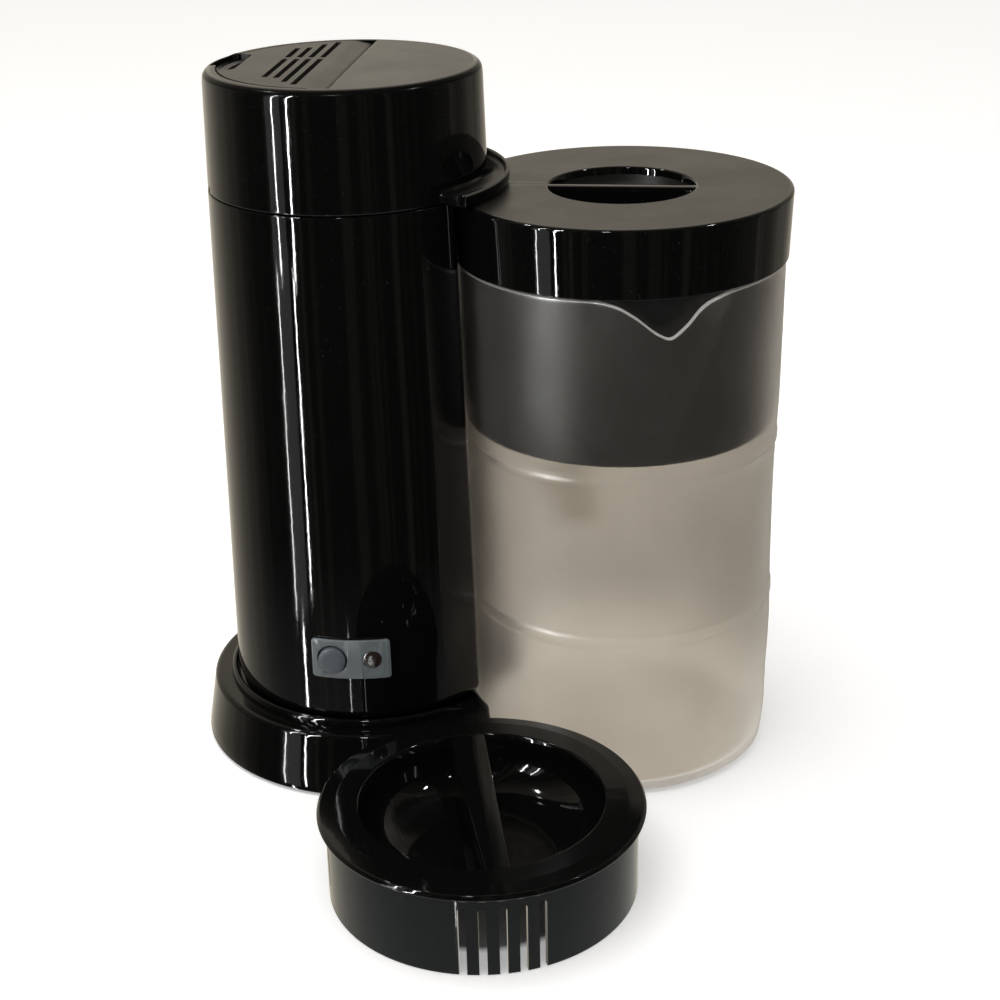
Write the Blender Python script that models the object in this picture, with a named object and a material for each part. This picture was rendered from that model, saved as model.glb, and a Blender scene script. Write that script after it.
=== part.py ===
"""Counter-top iced tea maker: a tower brewer, its docked pitcher with brew basket and lid,
and the pitcher's second lid standing in front.

Units are metres, +Z is up. The pitcher docks on the brewer's +X side and the controls face -Y.
Each group is modelled about its own upright axis and placed by an empty.
"""
import math

import bpy
import bmesh
from mathutils import Matrix, Vector

# Clearances and overruns
SEAT_GAP = 0.0003          # between pieces that touch on the real object
SLIDE_GAP = 0.0006         # round pieces that turn or lift out
DOCK_CLEARANCE = 0.0012    # pitcher to the brewer's nesting recess
CUT_OVERRUN = 0.0020       # how far a cutter passes the faces it cuts

# Pitcher
PITCHER_HEIGHT = 0.2310
PITCHER_RIM_RADIUS = 0.0702
PITCHER_FOOT_INSET = 0.0022
PITCHER_WALL = 0.0025
PITCHER_FLOOR = 0.0030
PITCHER_FOOT_ROUND = 0.0070
LEVEL_RIDGE_Z = 0.0600
LEVEL_RIDGE_PROUD = 0.0010
BAND_HEIGHT = 0.0790
SHOULDER_BLEND = 0.0130
WAIST_INSET = 0.0020
SPOUT_AZIMUTH = math.radians(-71)
SPOUT_HALF_ANGLE = math.radians(24)
SPOUT_DIP = 0.0160
SPOUT_REACH = 0.0055
SPOUT_DEPTH = 0.0700
HANDLE_TOP_DROP = 0.0290
HANDLE_BOTTOM_Z = 0.0700
HANDLE_REACH = 0.0400
HANDLE_WIDTH = 0.0200
HANDLE_THICKNESS = 0.0080
HANDLE_BEND = 0.0180

# Brew basket and its lid
BASKET_DEPTH = 0.0730
BASKET_WALL = 0.0018
BASKET_PLAY = 0.0009
BASKET_FLANGE = 0.0020
DRAIN_RADIUS = 0.0040
DRAIN_SLOT_WIDTH = 0.0022
DRAIN_SLOT_LENGTH = 0.0240
DRAIN_SLOT_COUNT = 8
LID_HEIGHT = 0.0292
LID_OVERHANG = 0.0012
LID_FLARE = 0.0012
LID_WALL = 0.0022
LID_EDGE_ROUND = 0.0016
LID_DISH_RADIUS = 0.0308
LID_DISH_DEPTH = 0.0150
LID_BAR_WIDTH = 0.0045
WATER_HOLE_RADIUS = 0.0036

# Storage lid
FLANGE_INSET = 0.0026
FLANGE_THICKNESS = 0.0030
STORAGE_HEIGHT = 0.0396
STORAGE_SKIRT_INSET = 0.0034
STORAGE_WALL = 0.0022
STORAGE_RIM_WIDTH = 0.0181
STORAGE_DISH_DEPTH = 0.0250
STORAGE_BAR_NEAR = 0.0100
STORAGE_BAR_FAR = 0.0152
STORAGE_BAR_FOOT = 0.0156
STRAINER_SLOT_COUNT = 5
STRAINER_SLOT_WIDTH = 0.0027
STRAINER_SLOT_HEIGHT = 0.0310
STRAINER_SLOT_PITCH = 0.0080
PEG_SLIT_WIDTH = 0.0014
PEG_SLIT_LOW = 0.0090
PEG_SLIT_HIGH = 0.0270
PEG_SLIT_ANGLE = math.radians(83)
STORAGE_TURN = math.radians(14.6)
STORAGE_TO_BASE = 0.0077
STORAGE_TO_PITCHER = 0.0056

# Brewer outside
LID_OVERLAP = 0.0150
LID_HEADROOM = 0.0009
HEAD_RADIUS = 0.0601
HEAD_TAPER = 0.0012
HEAD_HEIGHT = 0.0499
BASE_MARGIN = 0.0162
BASE_TAPER = 0.0051
BASE_HEIGHT = 0.0290
BASE_LIFT = 0.0012
BASE_WALL = 0.0025
BASE_EDGE_ROUND = 0.0020
BASE_CORNER = 0.0060
RIDGE_INSET = 0.0074
RIDGE_WIDTH = 0.0036
RIDGE_PROUD = 0.0036
BODY_TAPER = 0.0039
BODY_PROUD = 0.0001
BODY_WALL = 0.0024
BODY_FOOT_Z = 0.0300
BODY_FOOT_ROUND = 0.0050
BODY_CORNER = 0.0030
SEAM_GAP = 0.0006
CAP_WALL = 0.0023
CAP_TOP_WALL = 0.0024
CAP_EDGE_ROUND = 0.0037
EAVE_RADIUS = 0.0750
EAVE_SHIFT = (-0.0050, -0.0050)
EAVE_HEIGHT = 0.0062
EAVE_RIM = 0.0016
EAVE_HALF_ANGLE = math.radians(38)
EAVE_FADE_ANGLE = math.radians(9)
PRY_NOTCH_WIDTH = 0.0030
PRY_NOTCH_HEIGHT = 0.0026
PRY_NOTCH_AZIMUTH = math.radians(-156)

# Reservoir and its flap
TANK_FLOOR_Z = 0.0840
TANK_WALL = 0.0020
TANK_PLAY = 0.0025
TANK_LIP = 0.0026
RISER_DUCT = 0.0125
FLAP_RIM = 0.0026
FLAP_GAP = 0.0005
FLAP_THICKNESS = 0.0024
HINGE_X = 0.0015
HINGE_RIB_RADIUS = 0.0022
HINGE_RUN_GAP = 0.0014
HINGE_DROP = 0.0012
HINGE_SLOPE = 0.0090
HINGE_PIN_RADIUS = 0.0010
HINGE_PIN_PLAY = 0.0001
HINGE_LUG = 0.0040
HINGE_LUG_GAP = 0.0008
VENT_WIDTH = 0.0020
VENT_PITCH = 0.0051
VENT_FIRST = 0.0125
VENT_REACH_SHARES = (0.89, 0.79, 0.64, 0.61)
VENT_SHIFT = 0.0015
VENT_BRIDGE = 0.0030
VENT_BRIDGE_Y = 0.0105
FINGER_NOTCH_WIDTH = 0.0350
FINGER_NOTCH_DEPTH = 0.0110
FINGER_NOTCH_Y = 0.0020

# Controls
PLATE_AZIMUTH = math.radians(2)
PLATE_WIDTH = 0.0362
PLATE_HEIGHT = 0.0196
PLATE_THICKNESS = 0.0015
PLATE_Z = 0.0616
BUTTON_RADIUS = 0.0066
BUTTON_X = -0.0075
BUTTON_PROUD = 0.0022
BUTTON_TRAVEL = 0.0015
BUTTON_RING_GAP = 0.0007
LAMP_RADIUS = 0.0040
LAMP_X = 0.0101
LAMP_PROUD = 0.0006
SWITCH_WIDTH = 0.0170
SWITCH_HEIGHT = 0.0200
SWITCH_DEPTH = 0.0160
LAMP_HOLDER_LENGTH = 0.0120
WINDOW_MARGIN = 0.0020

# Underside and inner works
COVER_THICKNESS = 0.0024
COVER_Z = 0.0022
FOOT_PAD_RADIUS = 0.0070
FOOT_PAD_INSET = 0.0140
FOOT_PAD_ANGLES = [math.radians(a) for a in (62, 135, 225, 298)]
SCREW_ANGLES = [math.radians(a) for a in (108, 180, 252)]
SCREW_INSET = 0.0120
SCREW_SHANK_RADIUS = 0.0015
SCREW_HEAD_RADIUS = 0.0030
SCREW_HEAD_HEIGHT = 0.0009
SCREW_LENGTH = 0.0120
BOSS_WALL = 0.0018
HEATER_CLEARANCE = 0.0052
HEATER_X = -0.0080
HEATER_Z = 0.0300
HEATER_TUBE_RADIUS = 0.0075
HEATER_SWEEP = math.radians(250)
HEATER_STUB = 0.0100
STRAP_WIDTH = 0.0220
STRAP_THICKNESS = 0.0015
STRAP_FOOT = 0.0100
HOSE_RADIUS = 0.0042
HOSE_BORE = 0.0026
VALVE_RADIUS = 0.0060
VALVE_LENGTH = 0.0160
RISER_CLEARANCE = 0.0028
RISER_JOG_SHARE = 0.4
NOZZLE_INSET = 0.0084
NOZZLE_RADIUS = 0.0034
NOZZLE_RISE = 0.0076
THERMOSTAT_RADIUS = 0.0080
THERMOSTAT_HEIGHT = 0.0060
FUSE_RADIUS = 0.0026
FUSE_LENGTH = 0.0180
FUSE_CLEARANCE = 0.0016
GLAND_RADIUS = 0.0052
GLAND_BORE = 0.0034
GLAND_FLANGE = 0.0016
GLAND_FLANGE_PROUD = 0.0020
GLAND_Z = 0.0145
GLAND_OUT = 0.0030
TERMINAL_LENGTH = 0.0240
TERMINAL_DEPTH = 0.0110
TERMINAL_HEIGHT = 0.0100
TERMINAL_CLEARANCE = 0.0081

# Sizes that follow from the ones above
PITCHER_FOOT_RADIUS = PITCHER_RIM_RADIUS - PITCHER_FOOT_INSET
WAIST_RADIUS = PITCHER_RIM_RADIUS - WAIST_INSET
SHOULDER_Z = PITCHER_HEIGHT - BAND_HEIGHT
HANDLE_TOP_Z = PITCHER_HEIGHT - HANDLE_TOP_DROP
LID_BOTTOM_RADIUS = PITCHER_RIM_RADIUS + LID_OVERHANG
LID_TOP_RADIUS = LID_BOTTOM_RADIUS + LID_FLARE
LID_Z = PITCHER_HEIGHT + SEAT_GAP
LID_TOP_Z = LID_Z + LID_HEIGHT
FLANGE_RADIUS = PITCHER_RIM_RADIUS - FLANGE_INSET
STORAGE_SKIRT_RADIUS = FLANGE_RADIUS - STORAGE_SKIRT_INSET
STORAGE_DISH_RADIUS = FLANGE_RADIUS - STORAGE_RIM_WIDTH
DOCK_DISTANCE = HEAD_RADIUS + LID_TOP_RADIUS - LID_OVERLAP
CAP_Z = LID_TOP_Z + LID_HEADROOM
SEAM_Z = CAP_Z - SEAM_GAP
BREWER_HEIGHT = CAP_Z + HEAD_HEIGHT
CAP_BOTTOM_RADIUS = HEAD_RADIUS
CAP_TOP_RADIUS = HEAD_RADIUS - HEAD_TAPER
BODY_TOP_RADIUS = HEAD_RADIUS + BODY_PROUD
BODY_FOOT_RADIUS = BODY_TOP_RADIUS + BODY_TAPER
BASE_FOOT_RADIUS = BODY_FOOT_RADIUS + BASE_MARGIN
BASE_TOP_RADIUS = BASE_FOOT_RADIUS - BASE_TAPER
FLAP_RADIUS = CAP_TOP_RADIUS - CAP_EDGE_ROUND - FLAP_RIM
HEATER_RADIUS = BODY_FOOT_RADIUS - BODY_WALL - SWITCH_DEPTH - HEATER_CLEARANCE - HEATER_TUBE_RADIUS
NOZZLE_X = DOCK_DISTANCE - LID_TOP_RADIUS + NOZZLE_INSET
NOZZLE_Z = CAP_Z + NOZZLE_RISE

# Facet counts
ROUND_FACETS = 56
OUTER_ARC_STEPS = 38
CORNER_STEPS = 3
DOCK_ARC_STEPS = 10
PIPE_SIDES = 8
SMALL_FACETS = 16


def clear_scene():
    for old in list(bpy.data.objects):
        bpy.data.objects.remove(old, do_unlink=True)


def plastic(name, colour, roughness, metallic=0.0, clear=0.0):
    material = bpy.data.materials.new(name)
    material.use_nodes = True
    shader = material.node_tree.nodes["Principled BSDF"]
    shader.inputs["Base Color"].default_value = (*colour, 1.0)
    shader.inputs["Roughness"].default_value = roughness
    shader.inputs["Metallic"].default_value = metallic
    shader.inputs["Transmission Weight"].default_value = clear
    return material


def empty(name, parent=None, location=(0, 0, 0), turn=0.0):
    holder = bpy.data.objects.new(name, None)
    bpy.context.scene.collection.objects.link(holder)
    holder.parent = parent
    holder.location = location
    holder.rotation_euler[2] = turn
    return holder


def add_object(name, bm, material=None, parent=None, location=(0, 0, 0), sharp=math.radians(35)):
    bmesh.ops.recalc_face_normals(bm, faces=bm.faces)
    mesh = bpy.data.meshes.new(name)
    bm.to_mesh(mesh)
    bm.free()
    mesh.shade_smooth()
    mesh.set_sharp_from_angle(angle=sharp)
    if material:
        mesh.materials.append(material)
    piece = bpy.data.objects.new(name, mesh)
    bpy.context.scene.collection.objects.link(piece)
    piece.parent = parent
    piece.location = location
    return piece


def combine(piece, tool, operation):
    """Cut tool out of piece, or add it, then drop the tool. Both share piece's parent and place."""
    step = piece.modifiers.new(operation.title(), "BOOLEAN")
    step.operation = operation
    step.solver = "EXACT"
    step.object = tool
    bpy.context.view_layer.update()
    graph = bpy.context.evaluated_depsgraph_get()
    result = bpy.data.meshes.new_from_object(piece.evaluated_get(graph))
    piece.modifiers.clear()
    piece.data = result
    bpy.data.objects.remove(tool, do_unlink=True)
    result.shade_smooth()
    result.set_sharp_from_angle(angle=math.radians(35))


def cut(piece, bm):
    combine(piece, add_object("cutter", bm, None, piece.parent, piece.location), "DIFFERENCE")


def join(piece, bm):
    combine(piece, add_object("added", bm, None, piece.parent, piece.location), "UNION")


# Outlines: lists of (x, y) that all run anticlockwise

def circle(radius, count=ROUND_FACETS, x=0.0, y=0.0):
    steps = [2 * math.pi * k / count for k in range(count)]
    return [(x + radius * math.cos(a), y + radius * math.sin(a)) for a in steps]


def arc(x, y, radius, start, end, steps, skip_first=False):
    first = 1 if skip_first else 0
    angles = [start + (end - start) * k / steps for k in range(first, steps + 1)]
    return [(x + radius * math.cos(a), y + radius * math.sin(a)) for a in angles]


def crescent(radius, dock_radius, corner):
    """Round outline with the pitcher's round nesting recess taken out of its +X side."""
    reach = radius - corner
    hold = dock_radius + corner
    x = (DOCK_DISTANCE ** 2 + reach ** 2 - hold ** 2) / (2 * DOCK_DISTANCE)
    y = math.sqrt(reach ** 2 - x ** 2)
    outer = math.atan2(y, x)
    inner = math.atan2(y, x - DOCK_DISTANCE)
    points = arc(0.0, 0.0, radius, outer, 2 * math.pi - outer, OUTER_ARC_STEPS)
    points += arc(x, -y, corner, -outer, math.pi - inner, CORNER_STEPS, True)
    points += arc(DOCK_DISTANCE, 0.0, dock_radius, 2 * math.pi - inner, inner, DOCK_ARC_STEPS, True)
    points += arc(x, y, corner, inner - math.pi, outer, CORNER_STEPS, True)[:-1]
    return points


def rounded_rectangle(width, height, corner, steps=3):
    w = width / 2 - corner
    h = height / 2 - corner
    points = []
    for k, (x, y) in enumerate([(w, h), (-w, h), (-w, -h), (w, -h)]):
        points += arc(x, y, corner, k * math.pi / 2, (k + 1) * math.pi / 2, steps)
    return points


# Solids

def at_height(outline, z):
    return [Vector((x, y, z)) for x, y in outline]


def skin(rings, closed=False):
    """Join rings of equal length with quads. An open stack gets a flat face at each end."""
    bm = bmesh.new()
    verts = [[bm.verts.new(p) for p in ring] for ring in rings]
    pairs = list(zip(verts[:-1], verts[1:]))
    if closed:
        pairs.append((verts[-1], verts[0]))
    for low, high in pairs:
        count = len(low)
        for k in range(count):
            n = (k + 1) % count
            bm.faces.new((low[k], low[n], high[n], high[k]))
    if not closed:
        bm.faces.new(list(reversed(verts[0])))
        bm.faces.new(verts[-1])
    return bm


def turned(profile, count=ROUND_FACETS, closed=False, x=0.0, y=0.0):
    return skin([at_height(circle(r, count, x, y), z) for r, z in profile], closed)


def prism(outline, low, high):
    return skin([at_height(outline, low), at_height(outline, high)])


def box(x0, x1, y0, y1, z0, z1):
    return prism([(x0, y0), (x1, y0), (x1, y1), (x0, y1)], z0, z1)


def along_y(bm):
    """Turn a solid made along +Z so that it lies along +Y, its own Y becoming -Z."""
    bm.transform(Matrix.Rotation(-math.pi / 2, 4, "X"))
    return bm


def moved(bm, x=0.0, y=0.0, z=0.0, turn=0.0):
    bm.transform(Matrix.Translation((x, y, z)) @ Matrix.Rotation(turn, 4, "Z"))
    return bm


def merged(parts):
    """Several separate solids in one mesh, to cut or add in a single step."""
    whole = bmesh.new()
    for part in parts:
        mesh = bpy.data.meshes.new("part")
        bmesh.ops.recalc_face_normals(part, faces=part.faces)
        part.to_mesh(mesh)
        part.free()
        whole.from_mesh(mesh)
        bpy.data.meshes.remove(mesh)
    return whole


def pipe(path, outer, bore, sides=PIPE_SIDES):
    """A tube along a list of points, bored through; with no bore it is a solid rod."""
    rings = []
    side = None
    for k, point in enumerate(path):
        before = path[max(k - 1, 0)]
        after = path[min(k + 1, len(path) - 1)]
        ahead = (after - before).normalized()
        if side is None:
            side = ahead.orthogonal().normalized()
        side = (side - ahead * side.dot(ahead)).normalized()
        up = ahead.cross(side)
        rings.append((point, side.copy(), up))
    outside = [ring_about(p, s, u, outer, sides) for p, s, u in rings]
    if not bore:
        return skin(outside)
    inside = [ring_about(p, s, u, bore, sides) for p, s, u in reversed(rings)]
    return skin(outside + inside, closed=True)


def ring_about(point, side, up, radius, sides):
    angles = [2 * math.pi * k / sides for k in range(sides)]
    return [point + (side * math.cos(a) + up * math.sin(a)) * radius for a in angles]


def bent_path(corners, radius, steps=4):
    """Straight runs between corner points, each corner rounded to the given radius."""
    points = [Vector(corners[0])]
    for k in range(1, len(corners) - 1):
        here = Vector(corners[k])
        back = (Vector(corners[k - 1]) - here).normalized()
        ahead = (Vector(corners[k + 1]) - here).normalized()
        turn = back.angle(ahead)
        if turn > math.radians(178):
            points.append(here)
            continue
        leg = radius / math.tan(turn / 2)
        start = here + back * leg
        end = here + ahead * leg
        for s in range(steps + 1):
            t = s / steps
            points.append(start * (1 - t) ** 2 + here * (2 * t * (1 - t)) + end * t ** 2)
    points.append(Vector(corners[-1]))
    return points


# Shared sizes

def blend(a, b, t):
    return a + (b - a) * t


def pitcher_radius(z):
    """Outer radius of the pitcher: a slim lower wall with one level ridge, then a fuller band."""
    lower = blend(PITCHER_FOOT_RADIUS, WAIST_RADIUS, min(z / SHOULDER_Z, 1))
    rise = min(max((z - SHOULDER_Z) / SHOULDER_BLEND, 0), 1)
    upper_share = (z - SHOULDER_Z) / (PITCHER_HEIGHT - SHOULDER_Z)
    band = blend(WAIST_RADIUS, PITCHER_RIM_RADIUS, band_start_share)
    upper = blend(band, PITCHER_RIM_RADIUS, max(upper_share, 0))
    return blend(lower, upper, rise)


band_start_share = 0.65


def pitcher_bore(z):
    return pitcher_radius(z) - PITCHER_WALL


def dock_radius(z):
    """Radius of the nesting recess, clear of the pitcher below and of its lid above."""
    low = max(PITCHER_FOOT_RADIUS, WAIST_RADIUS + LEVEL_RIDGE_PROUD) + DOCK_CLEARANCE
    high = max(LID_TOP_RADIUS, PITCHER_RIM_RADIUS) + DOCK_CLEARANCE
    return blend(low, high, z / LID_TOP_Z)


def body_radius(z):
    return blend(BODY_FOOT_RADIUS, BODY_TOP_RADIUS, (z - BODY_FOOT_Z) / (SEAM_Z - BODY_FOOT_Z))


def base_outline(inset, z):
    """Outline of the base at a height, moved in from its outer face by inset."""
    share = min(max(z / BASE_HEIGHT, 0), 1)
    radius = blend(BASE_FOOT_RADIUS, BASE_TOP_RADIUS, share) - inset
    return crescent(radius, dock_radius(z) + inset, max(BASE_CORNER - inset, BODY_CORNER / 3))


def body_outline(inset, z):
    return crescent(body_radius(z) - inset, dock_radius(z) + inset, max(BODY_CORNER - inset, BODY_CORNER / 3))


def riser_x():
    """The riser runs between the tank and the inside of the recess wall, nearest at the seam."""
    return DOCK_DISTANCE - dock_radius(SEAM_Z) - BODY_WALL - RISER_CLEARANCE - HOSE_RADIUS


def storage_place():
    """The storage lid stands in front, a named gap from both the base and the pitcher."""
    from_base = BASE_FOOT_RADIUS + STORAGE_SKIRT_RADIUS + STORAGE_TO_BASE
    from_pitcher = PITCHER_RIM_RADIUS + FLANGE_RADIUS + STORAGE_TO_PITCHER
    x = (from_base ** 2 - from_pitcher ** 2 + DOCK_DISTANCE ** 2) / (2 * DOCK_DISTANCE)
    return x, -math.sqrt(from_base ** 2 - x ** 2)


def tank_outline(inset):
    """The reservoir is straight-sided, so it takes its size at the narrow top of the body."""
    radius = min(body_radius(SEAM_Z) - BODY_WALL, CAP_TOP_RADIUS - CAP_WALL) - TANK_PLAY - inset
    dock = dock_radius(SEAM_Z) + BODY_WALL + RISER_DUCT + inset
    return crescent(radius, dock, BODY_CORNER)


def on_cap(outline, radius_at):
    """Push an outline's points out along their own bearings to a round outline."""
    angles = [math.atan2(y, x) for x, y in outline]
    return [(radius_at(a) * math.cos(a), radius_at(a) * math.sin(a)) for a in angles]


def eave_share(angle):
    """1 over the pitcher's lid, fading to 0 at the two ends of the eave."""
    past = (abs(angle) - EAVE_HALF_ANGLE) / EAVE_FADE_ANGLE
    t = min(max(1 - past, 0), 1)
    return t * t * (3 - 2 * t)


# Pitcher group

def spout_push(angle, z):
    """How far the wall is pressed out for the pouring lip."""
    away = abs((angle - SPOUT_AZIMUTH + math.pi) % (2 * math.pi) - math.pi)
    down = (PITCHER_HEIGHT - z) / SPOUT_DEPTH
    if down >= 1:
        return 0.0
    width = SPOUT_HALF_ANGLE * (1 - down)
    share = max(1 - away / width, 0)
    return SPOUT_REACH * share * (1 - down)


def spout_dip(angle):
    away = abs((angle - SPOUT_AZIMUTH + math.pi) % (2 * math.pi) - math.pi)
    share = max(1 - away / SPOUT_HALF_ANGLE, 0)
    return SPOUT_DIP * share ** spout_curve_share


spout_curve_share = 1.35


def pitcher_ring(z, inset, share_to_rim=None):
    """A ring of the wall. Above the spout's root, heights are shares of the way to the rim."""
    ring = []
    for k in range(ROUND_FACETS):
        angle = SPOUT_AZIMUTH + 2 * math.pi * k / ROUND_FACETS
        height = z
        if share_to_rim is not None:
            height = blend(z, PITCHER_HEIGHT - spout_dip(angle), share_to_rim)
        radius = pitcher_radius(height) + spout_push(angle, height) - inset
        ring.append(Vector((radius * math.cos(angle), radius * math.sin(angle), height)))
    return ring


def make_pitcher(parent, material):
    foot = PITCHER_FOOT_ROUND
    root_z = PITCHER_HEIGHT - SPOUT_DIP - PITCHER_WALL
    levels = [LEVEL_RIDGE_Z, SHOULDER_Z, SHOULDER_Z + SHOULDER_BLEND]
    outside = []
    for k in range(3):
        a = math.pi / 2 * k / 2
        outside.append(pitcher_ring(foot * (1 - math.sin(a)), foot * (1 - math.cos(a))))
    outside.reverse()
    outside.insert(0, pitcher_ring(0.0, foot))
    outside.pop(1)
    outside += ridge_rings(0.0)
    outside += [pitcher_ring(z, 0.0) for z in levels[1:]]
    outside.append(pitcher_ring(PITCHER_HEIGHT - SPOUT_DEPTH * spout_mid_share, 0.0))
    outside += [pitcher_ring(root_z, 0.0), pitcher_ring(root_z, 0.0, 0.5), pitcher_ring(root_z, 0.0, 1.0)]
    wall = PITCHER_WALL
    inside = [pitcher_ring(root_z, wall, 1.0), pitcher_ring(root_z, wall, 0.5), pitcher_ring(root_z, wall)]
    inside.append(pitcher_ring(PITCHER_HEIGHT - SPOUT_DEPTH * spout_mid_share, wall))
    inside += [pitcher_ring(z, wall) for z in reversed(levels[1:])]
    inside.append(pitcher_ring(PITCHER_FLOOR + foot - wall, wall))
    inside.append(pitcher_ring(PITCHER_FLOOR, foot))
    pitcher = add_object("pitcher", skin(outside + inside), material, parent)
    join(pitcher, handle_solid())
    return pitcher


spout_mid_share = 0.45


def ridge_rings(inset):
    half = LEVEL_RIDGE_PROUD * 2
    rings = [pitcher_ring(LEVEL_RIDGE_Z - 3 * half, inset)]
    rings.append(pitcher_ring(LEVEL_RIDGE_Z, inset - LEVEL_RIDGE_PROUD))
    rings.append(pitcher_ring(LEVEL_RIDGE_Z + 3 * half, inset))
    return rings


def handle_solid():
    """A flat strap bent into a loop, opposite the spout, its ends sunk into the wall."""
    top_in = pitcher_radius(HANDLE_TOP_Z) - PITCHER_WALL / 2
    low_in = pitcher_radius(HANDLE_BOTTOM_Z) - PITCHER_WALL / 2
    out = PITCHER_RIM_RADIUS + HANDLE_REACH - HANDLE_THICKNESS / 2
    rise = HANDLE_BEND / 2
    corners = [(low_in, 0, HANDLE_BOTTOM_Z), (out, 0, HANDLE_BOTTOM_Z + rise),
               (out, 0, HANDLE_TOP_Z), (top_in, 0, HANDLE_TOP_Z)]
    path = bent_path(corners, HANDLE_BEND, 4)
    rings = []
    for k, point in enumerate(path):
        ahead = (path[min(k + 1, len(path) - 1)] - path[max(k - 1, 0)]).normalized()
        across = Vector((0, 1, 0))
        out_dir = ahead.cross(across)
        section = rounded_rectangle(HANDLE_THICKNESS, HANDLE_WIDTH, HANDLE_THICKNESS / 2 * handle_round_share, 2)
        rings.append([point + out_dir * x + across * y for x, y in section])
    return moved(skin(rings), turn=SPOUT_AZIMUTH + math.pi)


handle_round_share = 0.8


def make_basket(parent, material):
    floor_z = PITCHER_HEIGHT - BASKET_DEPTH
    rim_z = PITCHER_HEIGHT + SEAT_GAP
    top = pitcher_bore(PITCHER_HEIGHT) - BASKET_PLAY
    foot = pitcher_bore(floor_z) - BASKET_PLAY
    flange = LID_BOTTOM_RADIUS - LID_WALL - SLIDE_GAP
    profile = [(foot - BASKET_WALL, floor_z), (foot, floor_z + BASKET_WALL), (top, rim_z), (flange, rim_z),
               (flange, rim_z + BASKET_FLANGE), (top - BASKET_WALL, rim_z + BASKET_FLANGE),
               (foot - BASKET_WALL, floor_z + 2 * BASKET_WALL), (foot - 2 * BASKET_WALL, floor_z + BASKET_WALL)]
    basket = add_object("brew_basket", turned(profile), material, parent)
    low = floor_z - CUT_OVERRUN
    high = floor_z + 2 * BASKET_WALL + CUT_OVERRUN
    drains = [prism(circle(DRAIN_RADIUS, SMALL_FACETS), low, high)]
    first = 3 * DRAIN_RADIUS
    for k in range(DRAIN_SLOT_COUNT):
        slot = box(first, first + DRAIN_SLOT_LENGTH, -DRAIN_SLOT_WIDTH / 2, DRAIN_SLOT_WIDTH / 2, low, high)
        drains.append(moved(slot, turn=2 * math.pi * k / DRAIN_SLOT_COUNT))
    cut(basket, merged(drains))
    return basket


def dish_profile(radius, depth, edge, top_z, drop=0.0, grow=0.0):
    """Half section of a bowl from its edge to near its centre, as (r, z) from the edge down."""
    points = [(radius + edge + grow, top_z - drop)]
    for share_r, share_z in bowl_shares:
        points.append((radius * share_r + grow, top_z - edge - (depth - edge) * share_z - drop))
    return points


bowl_shares = [(1.0, 0.0), (0.955, 0.36), (0.83, 0.70), (0.60, 0.92), (0.16, 1.0)]


def make_basket_lid(parent, material):
    low = LID_Z + SEAT_GAP
    top = LID_TOP_Z
    r = LID_EDGE_ROUND
    inner_top = top - LID_WALL
    skirt_in_top = LID_TOP_RADIUS - LID_WALL
    skirt_in_low = LID_BOTTOM_RADIUS - LID_WALL
    upper = [(LID_BOTTOM_RADIUS, low), (LID_TOP_RADIUS, top - r), (LID_TOP_RADIUS - r * 0.3, top - r * 0.3),
             (LID_TOP_RADIUS - r, top)]
    upper += dish_profile(LID_DISH_RADIUS, LID_DISH_DEPTH, r / 2, top)
    under = dish_profile(LID_DISH_RADIUS, LID_DISH_DEPTH, r / 2, top, LID_WALL, LID_WALL)
    under.reverse()
    under[-1] = (LID_DISH_RADIUS + 2 * LID_WALL, inner_top)
    under += [(skirt_in_top - r, inner_top), (skirt_in_top, inner_top - r), (skirt_in_low, low)]
    rings = [at_height(circle(radius), z) for radius, z in under[:]]
    rings += [at_height(circle(radius), z) for radius, z in upper]
    lid = add_object("basket_lid", skin(rings), material, parent)
    widths = (LID_BAR_WIDTH, LID_BAR_WIDTH, LID_BAR_WIDTH)
    join(lid, grip_bar(LID_DISH_RADIUS, LID_DISH_DEPTH, r / 2, top, LID_WALL, widths))
    hole = circle(WATER_HOLE_RADIUS, SMALL_FACETS, NOZZLE_X - DOCK_DISTANCE)
    cut(lid, prism(hole, inner_top - CUT_OVERRUN, top + CUT_OVERRUN))
    return lid


def grip_bar(radius, depth, edge, top_z, wall, widths):
    """A finger bar across a bowl along X, its ends and foot sunk half a wall into the bowl.

    The widths are those of its top at the -X and +X ends and that of its foot; both sides are flat.
    """
    near_width, far_width, foot_width = widths
    half = dish_profile(radius, depth, edge, top_z, wall / 2, wall / 2)[1:]
    half[0] = (radius + wall / 2, top_z - edge)
    outline = [(-r, z) for r, z in half] + [(r, z) for r, z in reversed(half)]
    lowest = min(z for r, z in half)
    highest = top_z - edge
    rings = []
    for side in (-1, 1):
        ring = []
        for x, z in outline:
            top_width = (near_width + far_width) / 2
            width = blend(foot_width, top_width, (z - lowest) / (highest - lowest))
            width += (far_width - near_width) * x / (2 * half[0][0])
            ring.append(Vector((x, side * width / 2, z)))
        rings.append(ring)
    return skin(rings)


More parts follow.
